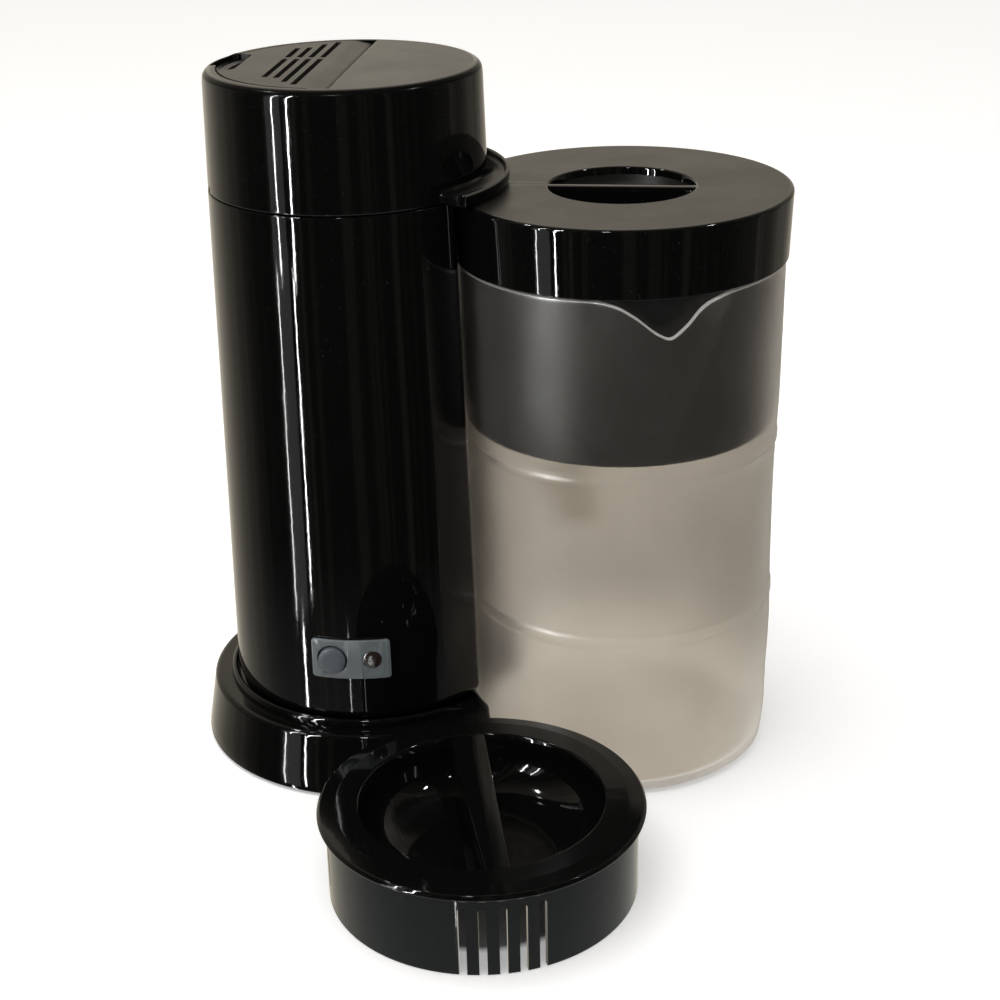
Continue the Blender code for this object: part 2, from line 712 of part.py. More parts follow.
def make_storage_lid(parent, material):
    top = STORAGE_HEIGHT
    flange_z = top - FLANGE_THICKNESS
    wall = STORAGE_WALL
    skirt = STORAGE_SKIRT_RADIUS
    edge = FLANGE_THICKNESS / 4
    dome_r = blend(STORAGE_DISH_RADIUS, FLANGE_RADIUS, 0.6)
    upper = [(skirt, 0.0), (skirt, flange_z - edge), (FLANGE_RADIUS - edge, flange_z - edge),
             (FLANGE_RADIUS, flange_z), (FLANGE_RADIUS - edge, flange_z + edge), (dome_r, top - edge)]
    upper += dish_profile(STORAGE_DISH_RADIUS, STORAGE_DISH_DEPTH, edge, top)
    under = dish_profile(STORAGE_DISH_RADIUS, STORAGE_DISH_DEPTH, edge, top, wall, wall)
    under.reverse()
    under[-1] = (STORAGE_DISH_RADIUS + 2 * wall, flange_z - edge)
    under += [(skirt - wall, flange_z - edge), (skirt - wall, 0.0)]
    rings = [at_height(circle(radius), z) for radius, z in under]
    rings += [at_height(circle(radius), z) for radius, z in upper]
    lid = add_object("storage_lid", skin(rings), material, parent)
    widths = (STORAGE_BAR_NEAR, STORAGE_BAR_FAR, STORAGE_BAR_FOOT)
    bar = grip_bar(STORAGE_DISH_RADIUS, STORAGE_DISH_DEPTH, edge, top, wall, widths)
    join(lid, moved(bar, turn=math.pi / 2))
    cut(lid, merged(strainer_slots()))
    return lid


def strainer_slots():
    """Round-topped slots in the front of the skirt, open below, and two blind-ended slits."""
    near = STORAGE_SKIRT_RADIUS - STORAGE_WALL - CUT_OVERRUN
    far = STORAGE_SKIRT_RADIUS + CUT_OVERRUN
    step = STRAINER_SLOT_PITCH / STORAGE_SKIRT_RADIUS
    half = STRAINER_SLOT_WIDTH / 2
    slots = []
    for k in range(STRAINER_SLOT_COUNT):
        outline = [(-half, CUT_OVERRUN), (-half, half - STRAINER_SLOT_HEIGHT)]
        outline += arc(0.0, half - STRAINER_SLOT_HEIGHT, half, math.pi, 2 * math.pi, 4, True)
        outline.append((half, CUT_OVERRUN))
        slot = along_y(prism(outline, -far, -near))
        slots.append(moved(slot, turn=(k - (STRAINER_SLOT_COUNT - 1) / 2) * step))
    for side in (-1, 1):
        w = PEG_SLIT_WIDTH / 2
        slit = box(-w, w, -far, -near, PEG_SLIT_LOW, PEG_SLIT_HIGH)
        slots.append(moved(slit, turn=side * PEG_SLIT_ANGLE))
    return slots


# Brewer group

def boss_places():
    """Centres of the screw bosses and screws, in from the base's outer face."""
    reach = BASE_FOOT_RADIUS - SCREW_INSET
    return [(reach * math.cos(a), reach * math.sin(a)) for a in SCREW_ANGLES]


def make_base(parent, material):
    top = BASE_HEIGHT
    r = BASE_EDGE_ROUND
    deck = top - BASE_WALL
    ridge_in = RIDGE_INSET + RIDGE_WIDTH
    body_foot = BASE_TOP_RADIUS - body_radius(BODY_FOOT_Z) + BODY_FOOT_ROUND
    opening = body_foot + BODY_WALL
    outside = [(0.0, BASE_LIFT), (0.0, top - r), (r * 0.3, top - r * 0.3), (r, top),
               (RIDGE_INSET, top), (RIDGE_INSET + RIDGE_WIDTH / 4, top + RIDGE_PROUD * 0.8),
               (RIDGE_INSET + RIDGE_WIDTH / 2, top + RIDGE_PROUD),
               (ridge_in - RIDGE_WIDTH / 5, top + RIDGE_PROUD * 0.8), (ridge_in, body_seat()),
               (opening, body_seat())]
    inside = [(opening, deck), (BASE_WALL, deck), (BASE_WALL, BASE_LIFT)]
    rings = [base_ring(inset, z) for inset, z in outside + inside]
    base = add_object("base_shell", skin(rings, closed=True), material, parent)
    low = COVER_Z + COVER_THICKNESS + SEAT_GAP
    boss = SCREW_SHANK_RADIUS + SEAT_GAP + BOSS_WALL
    join(base, merged([prism(circle(boss, SMALL_FACETS, x, y), low, deck + BASE_WALL / 2)
                       for x, y in boss_places()]))
    bore = SCREW_SHANK_RADIUS + SEAT_GAP
    high = COVER_Z + SCREW_LENGTH + SEAT_GAP
    cuts = [prism(circle(bore, PIPE_SIDES, x, y), low - CUT_OVERRUN, high) for x, y in boss_places()]
    gland = along_y(prism(circle(GLAND_RADIUS + SEAT_GAP, SMALL_FACETS), BASE_TOP_RADIUS - 2 * BASE_WALL,
                          BASE_FOOT_RADIUS + CUT_OVERRUN))
    cuts.append(moved(gland, z=GLAND_Z))
    cut(base, merged(cuts))
    return base


def base_ring(inset, z):
    """A ring of the base. The raised ridge fades out at the corners and stays off the recess."""
    ring = []
    for k, (x, y) in enumerate(base_outline(inset, z)):
        from_end = min(k, OUTER_ARC_STEPS - k)
        share = min(max(from_end / 2, 0), 1)
        ring.append(Vector((x, y, blend(min(z, body_seat()), z, share))))
    return ring


def body_seat():
    """Top of the base's inner ledge, which the body stands on."""
    return BODY_FOOT_Z - SEAT_GAP


def make_body(parent, material):
    low = BODY_FOOT_Z
    r = BODY_FOOT_ROUND
    inset = [(r, low), (r * 0.7, low), (r * 0.13, low + r * 0.5), (0.0, low + r), (0.0, SEAM_Z),
             (BODY_WALL, SEAM_Z), (BODY_WALL, low + r), (r, low + BODY_WALL)]
    rings = [at_height(body_outline(i, z), z) for i, z in inset]
    body = add_object("body_shell", skin(rings, closed=True), material, parent)
    return body


def cap_radius(angle, z):
    """Outer radius of the head, with the eave that shades the nozzle."""
    plain = blend(CAP_BOTTOM_RADIUS, CAP_TOP_RADIUS, (z - CAP_Z) / (BREWER_HEIGHT - CAP_Z))
    rise = (z - CAP_Z - EAVE_RIM) / (EAVE_HEIGHT - EAVE_RIM)
    out = min(max(1 - rise, 0), 1)
    return plain + (eave_radius(angle) - CAP_BOTTOM_RADIUS) * eave_share(angle) * out


def eave_radius(angle):
    """Reach of the eave's rim, a circle a little off the head's axis, along a bearing."""
    x, y = EAVE_SHIFT
    along = x * math.cos(angle) + y * math.sin(angle)
    return along + math.sqrt(EAVE_RADIUS ** 2 - (x * x + y * y - along ** 2))


def cap_ring(z, inset):
    outline = on_cap(cap_reference(), lambda a: cap_radius(a, z) - inset)
    return at_height(outline, z)


def cap_reference():
    """Bearings for the head's rings: the opening below it, which the body's outline gives."""
    return body_outline(BODY_WALL, SEAM_Z)


def make_cap(parent, material):
    top = BREWER_HEIGHT
    floor = CAP_Z + EAVE_RIM
    r = CAP_EDGE_ROUND
    eave_mid = blend(floor, CAP_Z + EAVE_HEIGHT, 0.5)
    ceiling = top - CAP_TOP_WALL
    rings = [cap_ring(ceiling, CAP_WALL + r / 5), cap_ring(ceiling - r / 5, CAP_WALL)]
    rings += [cap_ring(CAP_Z + EAVE_HEIGHT + CAP_WALL, CAP_WALL), cap_ring(floor + CAP_WALL / 2, CAP_WALL)]
    rings += [at_height(cap_reference(), floor + CAP_WALL / 2), at_height(cap_reference(), CAP_Z)]
    rings += [cap_ring(CAP_Z, 0.0), cap_ring(floor, 0.0), cap_ring(eave_mid, 0.0)]
    rings += [cap_ring(CAP_Z + EAVE_HEIGHT, 0.0), cap_ring(top - r, 0.0)]
    for k in (1, 2):
        a = math.pi / 2 * k / 3
        rings.append(cap_ring(top - r + r * math.sin(a), r * (1 - math.cos(a))))
    rings.append(cap_ring(top, r))
    cap = add_object("cap_shell", skin(rings), material, parent)
    join(cap, merged(hinge_lugs()))
    opening = flap_outline(FLAP_RADIUS + FLAP_GAP, HINGE_X + HINGE_RIB_RADIUS + HINGE_RUN_GAP)
    pin_hole = along_y(prism(pin_hole_outline(), -pin_reach(), pin_reach()))
    nozzle = prism(circle(NOZZLE_RADIUS + SEAT_GAP, SMALL_FACETS, NOZZLE_X), CAP_Z - CUT_OVERRUN,
                   floor + CAP_WALL / 2 + CUT_OVERRUN)
    notch = box(CAP_BOTTOM_RADIUS - CAP_WALL / 2, CAP_BOTTOM_RADIUS + CUT_OVERRUN, -PRY_NOTCH_WIDTH / 2,
                PRY_NOTCH_WIDTH / 2, CAP_Z - CUT_OVERRUN, CAP_Z + PRY_NOTCH_HEIGHT)
    cut(cap, prism(opening, ceiling - CUT_OVERRUN / 2, top + CUT_OVERRUN))
    cut(cap, moved(pin_hole, x=HINGE_X, z=hinge_z()))
    cut(cap, merged([nozzle, moved(notch, turn=PRY_NOTCH_AZIMUTH)]))
    return cap


def hinge_z():
    return BREWER_HEIGHT - HINGE_DROP - HINGE_RIB_RADIUS


def flap_chord():
    """Half the length of the flap's straight edge, where the flap's arc meets the hinge line."""
    return math.sqrt(FLAP_RADIUS ** 2 - (abs(HINGE_X) + HINGE_RIB_RADIUS) ** 2)


def pin_hole_outline():
    return circle(HINGE_PIN_RADIUS + HINGE_PIN_PLAY, SMALL_FACETS)


def pin_reach():
    return flap_chord() + HINGE_LUG_GAP + HINGE_LUG * lug_bore_share


lug_bore_share = 0.8


def hinge_lugs():
    """Blocks under the head's top that take the ends of the hinge pin."""
    near = flap_chord() + HINGE_LUG_GAP
    wide = HINGE_RIB_RADIUS + HINGE_RUN_GAP
    low = hinge_z() - 2 * HINGE_RIB_RADIUS
    high = BREWER_HEIGHT - CAP_TOP_WALL / 2
    return [box(HINGE_X - wide, HINGE_X + wide, side * near, side * (near + HINGE_LUG), low, high)
            for side in (-1, 1)]


def flap_outline(radius, chord_x):
    """A round outline cut off by the hinge line at x = chord_x."""
    half = math.acos(chord_x / radius)
    return arc(0.0, 0.0, radius, half, 2 * math.pi - half, OUTER_ARC_STEPS)


def make_flap(parent, material):
    """Modelled about the hinge line: local Y is the pin's axis."""
    top = HINGE_RIB_RADIUS + HINGE_DROP
    low = top - FLAP_THICKNESS
    outline = [(x - HINGE_X, y) for x, y in flap_outline(FLAP_RADIUS, HINGE_X + HINGE_RIB_RADIUS / 4)]
    flap = add_object("reservoir_flap", prism(outline, low, top), material, parent)
    over = top + CUT_OVERRUN
    foot = HINGE_RIB_RADIUS * 0.9
    rise = (top - foot) / 2
    far = HINGE_SLOPE * 1.5
    slope = [(-far, -top - rise), (0.0, -foot), (CUT_OVERRUN, -foot), (CUT_OVERRUN, -over), (-far, -over)]
    wide = FLAP_RADIUS + CUT_OVERRUN
    cut(flap, along_y(prism(slope, -wide, wide)))
    chord = flap_chord()
    rib = along_y(prism(circle(HINGE_RIB_RADIUS, SMALL_FACETS), -chord, chord))
    join(flap, rib)
    bore = along_y(prism(pin_hole_outline(), -chord - CUT_OVERRUN, chord + CUT_OVERRUN))
    cut(flap, bore)
    cuts = []
    for row, share in enumerate(VENT_REACH_SHARES):
        x = -VENT_FIRST - row * VENT_PITCH
        reach = FLAP_RADIUS * share
        spans = ((VENT_SHIFT - reach, VENT_BRIDGE_Y - VENT_BRIDGE / 2),
                 (VENT_BRIDGE_Y + VENT_BRIDGE / 2, VENT_SHIFT + reach))
        for y0, y1 in spans:
            cuts.append(box(x - VENT_WIDTH / 2, x + VENT_WIDTH / 2, y0, y1, low - CUT_OVERRUN, top + CUT_OVERRUN))
    inner = HINGE_X + FLAP_RADIUS
    notch = rounded_rectangle(2 * FINGER_NOTCH_DEPTH, FINGER_NOTCH_WIDTH, FINGER_NOTCH_DEPTH / 3)
    cuts.append(moved(prism(notch, low - CUT_OVERRUN, top + CUT_OVERRUN), x=-inner, y=FINGER_NOTCH_Y))
    cut(flap, merged(cuts))
    return flap


def make_hinge_pin(parent, material):
    length = pin_reach() - SEAT_GAP
    pin = along_y(prism(circle(HINGE_PIN_RADIUS, SMALL_FACETS), -length, length))
    return add_object("hinge_pin", pin, material, parent)


def make_tank(parent, material):
    seat = BREWER_HEIGHT - max(FLAP_THICKNESS, CAP_TOP_WALL) - SEAT_GAP
    low = TANK_FLOOR_Z
    wall = TANK_WALL
    rings = [at_height(tank_outline(0.0), low), at_height(tank_outline(0.0), seat),
             at_height(tank_outline(wall + TANK_LIP), seat), at_height(tank_outline(wall + TANK_LIP), seat - wall),
             at_height(tank_outline(wall), seat - 2 * wall), at_height(tank_outline(wall), low + wall)]
    tank = add_object("reservoir_tank", skin(rings), material, parent)
    lug = HINGE_RIB_RADIUS + HINGE_RUN_GAP + SEAT_GAP
    depth = hinge_z() - 2 * HINGE_RIB_RADIUS - SEAT_GAP
    cut(tank, box(HINGE_X - lug, HINGE_X + lug, -CAP_BOTTOM_RADIUS, CAP_BOTTOM_RADIUS, depth, BREWER_HEIGHT))
    return tank


# Controls, modelled facing -Y about an empty turned to their bearing

def plate_grid(width, height, proud_back, proud_front, columns=10):
    """The plate as a grid of curved columns, so that its faces bend with the wall."""
    corner = height / 10
    bm = bmesh.new()
    faces = {}
    for side, proud in (("back", proud_back), ("front", proud_front)):
        for c in range(columns + 1):
            s = width * (c / columns - 0.5)
            end = c in (0, columns)
            half = height / 2 - (corner if end else 0.0)
            for row, t in enumerate((-half, half)):
                z = PLATE_Z + t
                radius = body_radius(z) + proud
                a = s / body_radius(PLATE_Z)
                faces[side, c, row] = bm.verts.new((radius * math.sin(a), -radius * math.cos(a), z))
    for c in range(columns):
        front = [faces["front", c, 0], faces["front", c + 1, 0], faces["front", c + 1, 1], faces["front", c, 1]]
        back = [faces["back", c, 1], faces["back", c + 1, 1], faces["back", c + 1, 0], faces["back", c, 0]]
        bm.faces.new(front)
        bm.faces.new(back)
        for row in (0, 1):
            bm.faces.new((faces["front", c, row], faces["back", c, row], faces["back", c + 1, row],
                          faces["front", c + 1, row]))
    for c in (0, columns):
        bm.faces.new((faces["front", c, 0], faces["front", c, 1], faces["back", c, 1], faces["back", c, 0]))
    return bm


def plate_front(x):
    """Distance of the plate's front face from the brewer's axis plane, at a place across it."""
    radius = body_radius(PLATE_Z) + SEAT_GAP + PLATE_THICKNESS
    return math.sqrt(radius ** 2 - x ** 2)


def wall_inside(x):
    radius = body_radius(PLATE_Z + SWITCH_HEIGHT / 2) - BODY_WALL
    return math.sqrt(radius ** 2 - x ** 2)


def cylinder_y(radius, y0, y1, x, z, count=SMALL_FACETS):
    return moved(along_y(prism(circle(radius, count), y0, y1)), x=x, z=z)


def make_controls(parent, body, plate_material, button_material, lamp_material, dark_material):
    plate = add_object("control_plate", plate_grid(PLATE_WIDTH, PLATE_HEIGHT, SEAT_GAP,
                                                   SEAT_GAP + PLATE_THICKNESS), plate_material, parent)
    far = -plate_front(0.0) - CUT_OVERRUN
    near = -wall_inside(0.0) + CUT_OVERRUN
    button_hole = cylinder_y(BUTTON_RADIUS + BUTTON_RING_GAP, far, near, BUTTON_X, PLATE_Z, 24)
    lamp_hole = cylinder_y(LAMP_RADIUS + SEAT_GAP, far, near, LAMP_X, PLATE_Z, 16)
    cut(plate, merged([button_hole, lamp_hole]))
    button_back = wall_inside(abs(BUTTON_X) + SWITCH_WIDTH / 2) - SWITCH_DEPTH / 2
    button_axis = empty("button_axis", parent, (BUTTON_X, 0.0, PLATE_Z))
    crown = plate_front(BUTTON_X) + BUTTON_PROUD
    edge = BUTTON_PROUD / 3
    profile = [(BUTTON_RADIUS * 0.55, button_back), (BUTTON_RADIUS * 0.55, wall_inside(0.0) - SLIDE_GAP),
               (BUTTON_RADIUS, wall_inside(0.0)), (BUTTON_RADIUS, crown - edge),
               (BUTTON_RADIUS - edge, crown), (BUTTON_RADIUS * 0.5, crown + edge / 2)]
    solid = turned(profile, 24)
    solid.transform(Matrix.Rotation(math.pi / 2, 4, "X"))
    add_object("power_button", solid, button_material, button_axis)
    lens = [(LAMP_RADIUS + BUTTON_RING_GAP, lamp_seat() - LAMP_RADIUS / 4),
            (LAMP_RADIUS + BUTTON_RING_GAP, lamp_seat()), (LAMP_RADIUS, lamp_seat()),
            (LAMP_RADIUS, plate_front(LAMP_X) + LAMP_PROUD / 2),
            (LAMP_RADIUS * 0.5, plate_front(LAMP_X) + LAMP_PROUD)]
    solid = turned(lens, 16)
    solid.transform(Matrix.Rotation(math.pi / 2, 4, "X"))
    add_object("lamp_lens", solid, lamp_material, parent, (LAMP_X, 0.0, PLATE_Z))
    make_switch(parent, button_back, dark_material)
    back = lamp_seat() - LAMP_RADIUS / 4 - SEAT_GAP
    holder = [(LAMP_RADIUS, back - LAMP_HOLDER_LENGTH), (LAMP_RADIUS, back - BODY_WALL),
              (LAMP_RADIUS + BUTTON_RING_GAP, back - BODY_WALL), (LAMP_RADIUS + BUTTON_RING_GAP, back)]
    solid = turned(holder, 12)
    solid.transform(Matrix.Rotation(math.pi / 2, 4, "X"))
    add_object("lamp_holder", solid, dark_material, parent, (LAMP_X, 0.0, PLATE_Z))
    return plate


def lamp_seat():
    """Where the lens flange sits, just behind the plate at the lamp's far side."""
    side = LAMP_X + LAMP_RADIUS + BUTTON_RING_GAP
    radius = body_radius(PLATE_Z + LAMP_RADIUS + BUTTON_RING_GAP) + SEAT_GAP
    return math.sqrt(radius ** 2 - side ** 2) - SEAT_GAP


def make_switch(parent, button_back, material):
    """The switch behind the button, its front edges against the inside of the body's wall."""
    half = SWITCH_WIDTH / 2
    front = wall_inside(abs(BUTTON_X) + half) - SEAT_GAP
    solid = box(BUTTON_X - half, BUTTON_X + half, -front, -front + SWITCH_DEPTH,
                PLATE_Z - SWITCH_HEIGHT / 2, PLATE_Z + SWITCH_HEIGHT / 2)
    switch = add_object("switch_body", solid, material, parent)
    well = BUTTON_RADIUS * 0.55 + SLIDE_GAP
    floor = button_back - BUTTON_TRAVEL - SLIDE_GAP
    cut(switch, cylinder_y(well, -front - CUT_OVERRUN, -floor, BUTTON_X, PLATE_Z))
    return switch


def cut_control_window(body, holder):
    """An opening in the body behind the plate for the button's stem and the lamp."""
    spacing = LAMP_X - BUTTON_X
    radius = BUTTON_RADIUS + BUTTON_RING_GAP
    width = spacing + 2 * radius + WINDOW_MARGIN
    centre = (LAMP_X + BUTTON_X) / 2
    outline = rounded_rectangle(width, 2 * radius + WINDOW_MARGIN, radius)
    deep = wall_inside(abs(centre) + width / 2) - CUT_OVERRUN
    solid = along_y(prism(outline, -plate_front(0.0) - CUT_OVERRUN, -deep))
    cut(body, moved(moved(solid, x=centre, z=PLATE_Z), turn=PLATE_AZIMUTH))


# Underside and inner works

def cover_outline():
    return base_outline(BASE_WALL + SEAT_GAP, COVER_Z + COVER_THICKNESS)


def make_cover(parent, material):
    cover = add_object("bottom_cover", prism(cover_outline(), COVER_Z, COVER_Z + COVER_THICKNESS),
                       material, parent)
    hole = SCREW_SHANK_RADIUS + SEAT_GAP
    cut(cover, merged([prism(circle(hole, PIPE_SIDES, x, y), COVER_Z - CUT_OVERRUN,
                             COVER_Z + COVER_THICKNESS + CUT_OVERRUN) for x, y in boss_places()]))
    return cover


def make_feet(parent, material):
    reach = BASE_FOOT_RADIUS - FOOT_PAD_INSET
    top = COVER_Z - SEAT_GAP
    names = ["foot_right_rear", "foot_left_rear", "foot_left_front", "foot_right_front"]
    for name, a in zip(names, FOOT_PAD_ANGLES):
        pad = turned([(FOOT_PAD_RADIUS * 0.9, 0.0), (FOOT_PAD_RADIUS, top / 2), (FOOT_PAD_RADIUS, top)], 16)
        add_object(name, pad, material, parent, (reach * math.cos(a), reach * math.sin(a), 0.0))


def make_screws(parent, material):
    head_top = COVER_Z - SEAT_GAP
    profile = [(SCREW_HEAD_RADIUS, head_top - SCREW_HEAD_HEIGHT), (SCREW_HEAD_RADIUS, head_top),
               (SCREW_SHANK_RADIUS, head_top), (SCREW_SHANK_RADIUS, COVER_Z + SCREW_LENGTH)]
    for number, (x, y) in enumerate(boss_places(), start=1):
        add_object(f"cover_screw_{number}", turned(profile, PIPE_SIDES), material, parent, (x, y, 0.0))


def heater_path():
    """The heater's horseshoe, open towards the pitcher, its two ends turned up."""
    steps = 14
    start = math.pi - HEATER_SWEEP / 2
    points = []
    for k in range(steps + 1):
        a = start + HEATER_SWEEP * k / steps
        points.append(Vector((HEATER_X + HEATER_RADIUS * math.cos(a), HEATER_RADIUS * math.sin(a), HEATER_Z)))
    return points


def make_heater(parent, material, steel, dark, rubber):
    heater = add_object("heater_block", pipe(heater_path(), HEATER_TUBE_RADIUS, 0.0), material, parent)
    stub_top = HEATER_Z + HEATER_TUBE_RADIUS + HEATER_STUB
    stubs = []
    for side in (-1, 1):
        x, y = stub_place(side)
        stubs.append(prism(circle(HOSE_BORE, SMALL_FACETS, x, y), HEATER_Z, stub_top))
    join(heater, merged(stubs))
    low = COVER_Z + COVER_THICKNESS + SEAT_GAP
    top = HEATER_Z - HEATER_TUBE_RADIUS - SEAT_GAP
    reach = HEATER_RADIUS + HEATER_TUBE_RADIUS
    t = STRAP_THICKNESS
    section = [(-reach - STRAP_FOOT, -low), (-reach - STRAP_FOOT, -low - t), (-reach - t, -low - t),
               (-reach - t, -top), (reach + t, -top), (reach + t, -low - t), (reach + STRAP_FOOT, -low - t),
               (reach + STRAP_FOOT, -low), (reach, -low), (reach, -top + t), (-reach, -top + t), (-reach, -low)]
    strap = along_y(prism(section, -STRAP_WIDTH / 2, STRAP_WIDTH / 2))
    bracket = add_object("heater_bracket", strap, steel, parent, (HEATER_X, 0.0, 0.0))
    bracket.rotation_euler[2] = math.pi / 2
    top_z = HEATER_Z + HEATER_TUBE_RADIUS + SEAT_GAP
    disc = [(THERMOSTAT_RADIUS, 0.0), (THERMOSTAT_RADIUS, THERMOSTAT_HEIGHT / 2),
            (THERMOSTAT_RADIUS / 2, THERMOSTAT_HEIGHT / 2), (THERMOSTAT_RADIUS / 2, THERMOSTAT_HEIGHT)]
    add_object("thermostat", turned(disc, 16), steel, parent, (HEATER_X - HEATER_RADIUS, 0.0, top_z))
    fuse = along_y(prism(circle(FUSE_RADIUS, PIPE_SIDES), -FUSE_LENGTH / 2, FUSE_LENGTH / 2))
    fuse_x = stub_place(1)[0] - HOSE_RADIUS - FUSE_CLEARANCE - FUSE_LENGTH / 2
    piece = add_object("thermal_fuse", fuse, dark, parent, (fuse_x, HEATER_RADIUS, top_z + FUSE_RADIUS))
    piece.rotation_euler[2] = math.pi / 2
    make_water_path(parent, stub_top, rubber, dark)


def stub_place(side):
    """Where the heater's water stubs stand, just behind its end faces."""
    a = math.pi - HEATER_SWEEP / 2 * stub_share
    return HEATER_X + HEATER_RADIUS * math.cos(a), side * HEATER_RADIUS * math.sin(a)


stub_share = 0.93


def make_water_path(parent, stub_top, rubber, dark):
    """Tank outlet, valve and hose to the front stub; riser from the rear stub to the nozzle."""
    x, y = stub_place(-1)
    sleeve_low = stub_top - HEATER_STUB * sleeve_share
    valve_top = TANK_FLOOR_Z - SEAT_GAP
    valve_low = valve_top - VALVE_LENGTH
    sleeve = HOSE_BORE + SEAT_GAP
    hose = pipe([Vector((x, y, sleeve_low)), Vector((x, y, valve_low - SEAT_GAP))], HOSE_RADIUS, sleeve, SMALL_FACETS)
    add_object("supply_hose", hose, rubber, parent)
    valve = [(HOSE_BORE, valve_low), (HOSE_RADIUS, valve_low), (VALVE_RADIUS, valve_low + VALVE_LENGTH / 4),
             (VALVE_RADIUS, valve_top), (HOSE_BORE, valve_top)]
    add_object("check_valve", turned(valve, 16, closed=True), dark, parent, (x, y, 0.0))
    x, y = stub_place(1)
    bend = 2 * HOSE_RADIUS
    mid = blend(stub_top, TANK_FLOOR_Z, RISER_JOG_SHARE)
    corners = [(x, y, sleeve_low), (x, y, mid), (riser_x(), 0.0, mid + bend), (riser_x(), 0.0, TANK_FLOOR_Z + bend),
               (riser_x(), 0.0, NOZZLE_Z - bend)]
    riser = pipe(bent_path(corners, bend, 3), HOSE_RADIUS, HOSE_BORE + SEAT_GAP)
    add_object("riser_hose", riser, rubber, parent)
    corners = [(riser_x(), 0.0, NOZZLE_Z - bend + SEAT_GAP), (riser_x(), 0.0, NOZZLE_Z), (NOZZLE_X, 0.0, NOZZLE_Z),
               (NOZZLE_X, 0.0, CAP_Z + SEAT_GAP)]
    nozzle = pipe(bent_path(corners, NOZZLE_RADIUS * 1.1, 3), NOZZLE_RADIUS, HOSE_BORE * 0.8)
    add_object("nozzle_tube", nozzle, dark, parent)


sleeve_share = 0.7


def make_cord_entry(parent, rubber, dark):
    """The bushing in the rear of the base and the terminal block behind it."""
    inner = base_wall_y(GLAND_Z + GLAND_RADIUS + GLAND_FLANGE_PROUD) - BASE_WALL - SEAT_GAP
    outer = base_wall_y(GLAND_Z) + GLAND_OUT
    wide = GLAND_RADIUS + GLAND_FLANGE_PROUD
    profile = [(GLAND_BORE, inner - GLAND_FLANGE), (wide, inner - GLAND_FLANGE), (wide, inner),
               (GLAND_RADIUS, inner), (GLAND_RADIUS, outer - GLAND_OUT / 4),
               (GLAND_RADIUS - GLAND_OUT / 4, outer), (GLAND_BORE, outer)]
    gland = along_y(turned(profile, 16, closed=True))
    add_object("cord_gland", gland, rubber, parent, (0.0, 0.0, GLAND_Z))
    low = COVER_Z + COVER_THICKNESS + SEAT_GAP
    half = TERMINAL_LENGTH / 2
    back = inner - GLAND_FLANGE - TERMINAL_CLEARANCE
    block = box(-half, half, back - TERMINAL_DEPTH, back, low, low + TERMINAL_HEIGHT)
    terminal = add_object("terminal_block", block, dark, parent)
    return terminal


def base_wall_y(z):
    return blend(BASE_FOOT_RADIUS, BASE_TOP_RADIUS, z / BASE_HEIGHT)


def centre_row(row):
    """Move the whole row so that the middle of its box's underside is the origin."""
    bpy.context.view_layer.update()
    corners = [piece.matrix_world @ vertex.co for piece in bpy.data.objects if piece.type == "MESH"
               for vertex in piece.data.vertices]
    for axis in (0, 1):
        values = [corner[axis] for corner in corners]
        row.location[axis] = -(min(values) + max(values)) / 2
    row.location[2] = -min(corner[2] for corner in corners)


def main():
    clear_scene()
    gloss_black = plastic("gloss_black", (0.012, 0.012, 0.013), 0.12)
    satin_black = plastic("satin_black", (0.035, 0.033, 0.030), 0.42)
    frosted = plastic("frosted", (0.62, 0.58, 0.52), 0.38, clear=0.7)
    tank_black = plastic("tank_black", (0.030, 0.030, 0.032), 0.50)
    plate_grey = plastic("plate_grey", (0.125, 0.145, 0.155), 0.40)
    button_grey = plastic("button_grey", (0.083, 0.100, 0.114), 0.38)
    amber = plastic("amber", (0.045, 0.012, 0.006), 0.15)
    rubber = plastic("rubber", (0.020, 0.020, 0.020), 0.75)
    silicone = plastic("silicone", (0.62, 0.60, 0.56), 0.55)
    aluminium = plastic("aluminium", (0.62, 0.63, 0.64), 0.40, metallic=1.0)
    steel = plastic("steel", (0.55, 0.56, 0.57), 0.30, metallic=1.0)
    moulded = plastic("moulded_black", (0.025, 0.025, 0.025), 0.60)

    row = empty("row")
    brewer = empty("brewer", row)
    pitcher_stand = empty("pitcher_axis", row, (DOCK_DISTANCE, 0.0, 0.0))
    storage_stand = empty("storage_lid_axis", row, (*storage_place(), 0.0), STORAGE_TURN)

    make_pitcher(pitcher_stand, frosted)
    make_basket(pitcher_stand, satin_black)
    make_basket_lid(pitcher_stand, gloss_black)
    make_storage_lid(storage_stand, gloss_black)

    make_base(brewer, gloss_black)
    body = make_body(brewer, gloss_black)
    cut_control_window(body, brewer)
    make_cap(brewer, gloss_black)
    make_tank(brewer, tank_black)
    flap_axis = empty("flap_axis", brewer, (HINGE_X, 0.0, hinge_z()))
    make_flap(flap_axis, satin_black)
    make_hinge_pin(flap_axis, steel)
    control_front = empty("control_front", brewer, turn=PLATE_AZIMUTH)
    make_controls(control_front, body, plate_grey, button_grey, amber, moulded)
    make_cover(brewer, moulded)
    make_feet(brewer, rubber)
    make_screws(brewer, steel)
    make_heater(brewer, aluminium, steel, moulded, silicone)
    make_cord_entry(brewer, rubber, moulded)
    centre_row(row)


main()
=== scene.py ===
import math

import bmesh
import bpy
from mathutils import Matrix, Vector

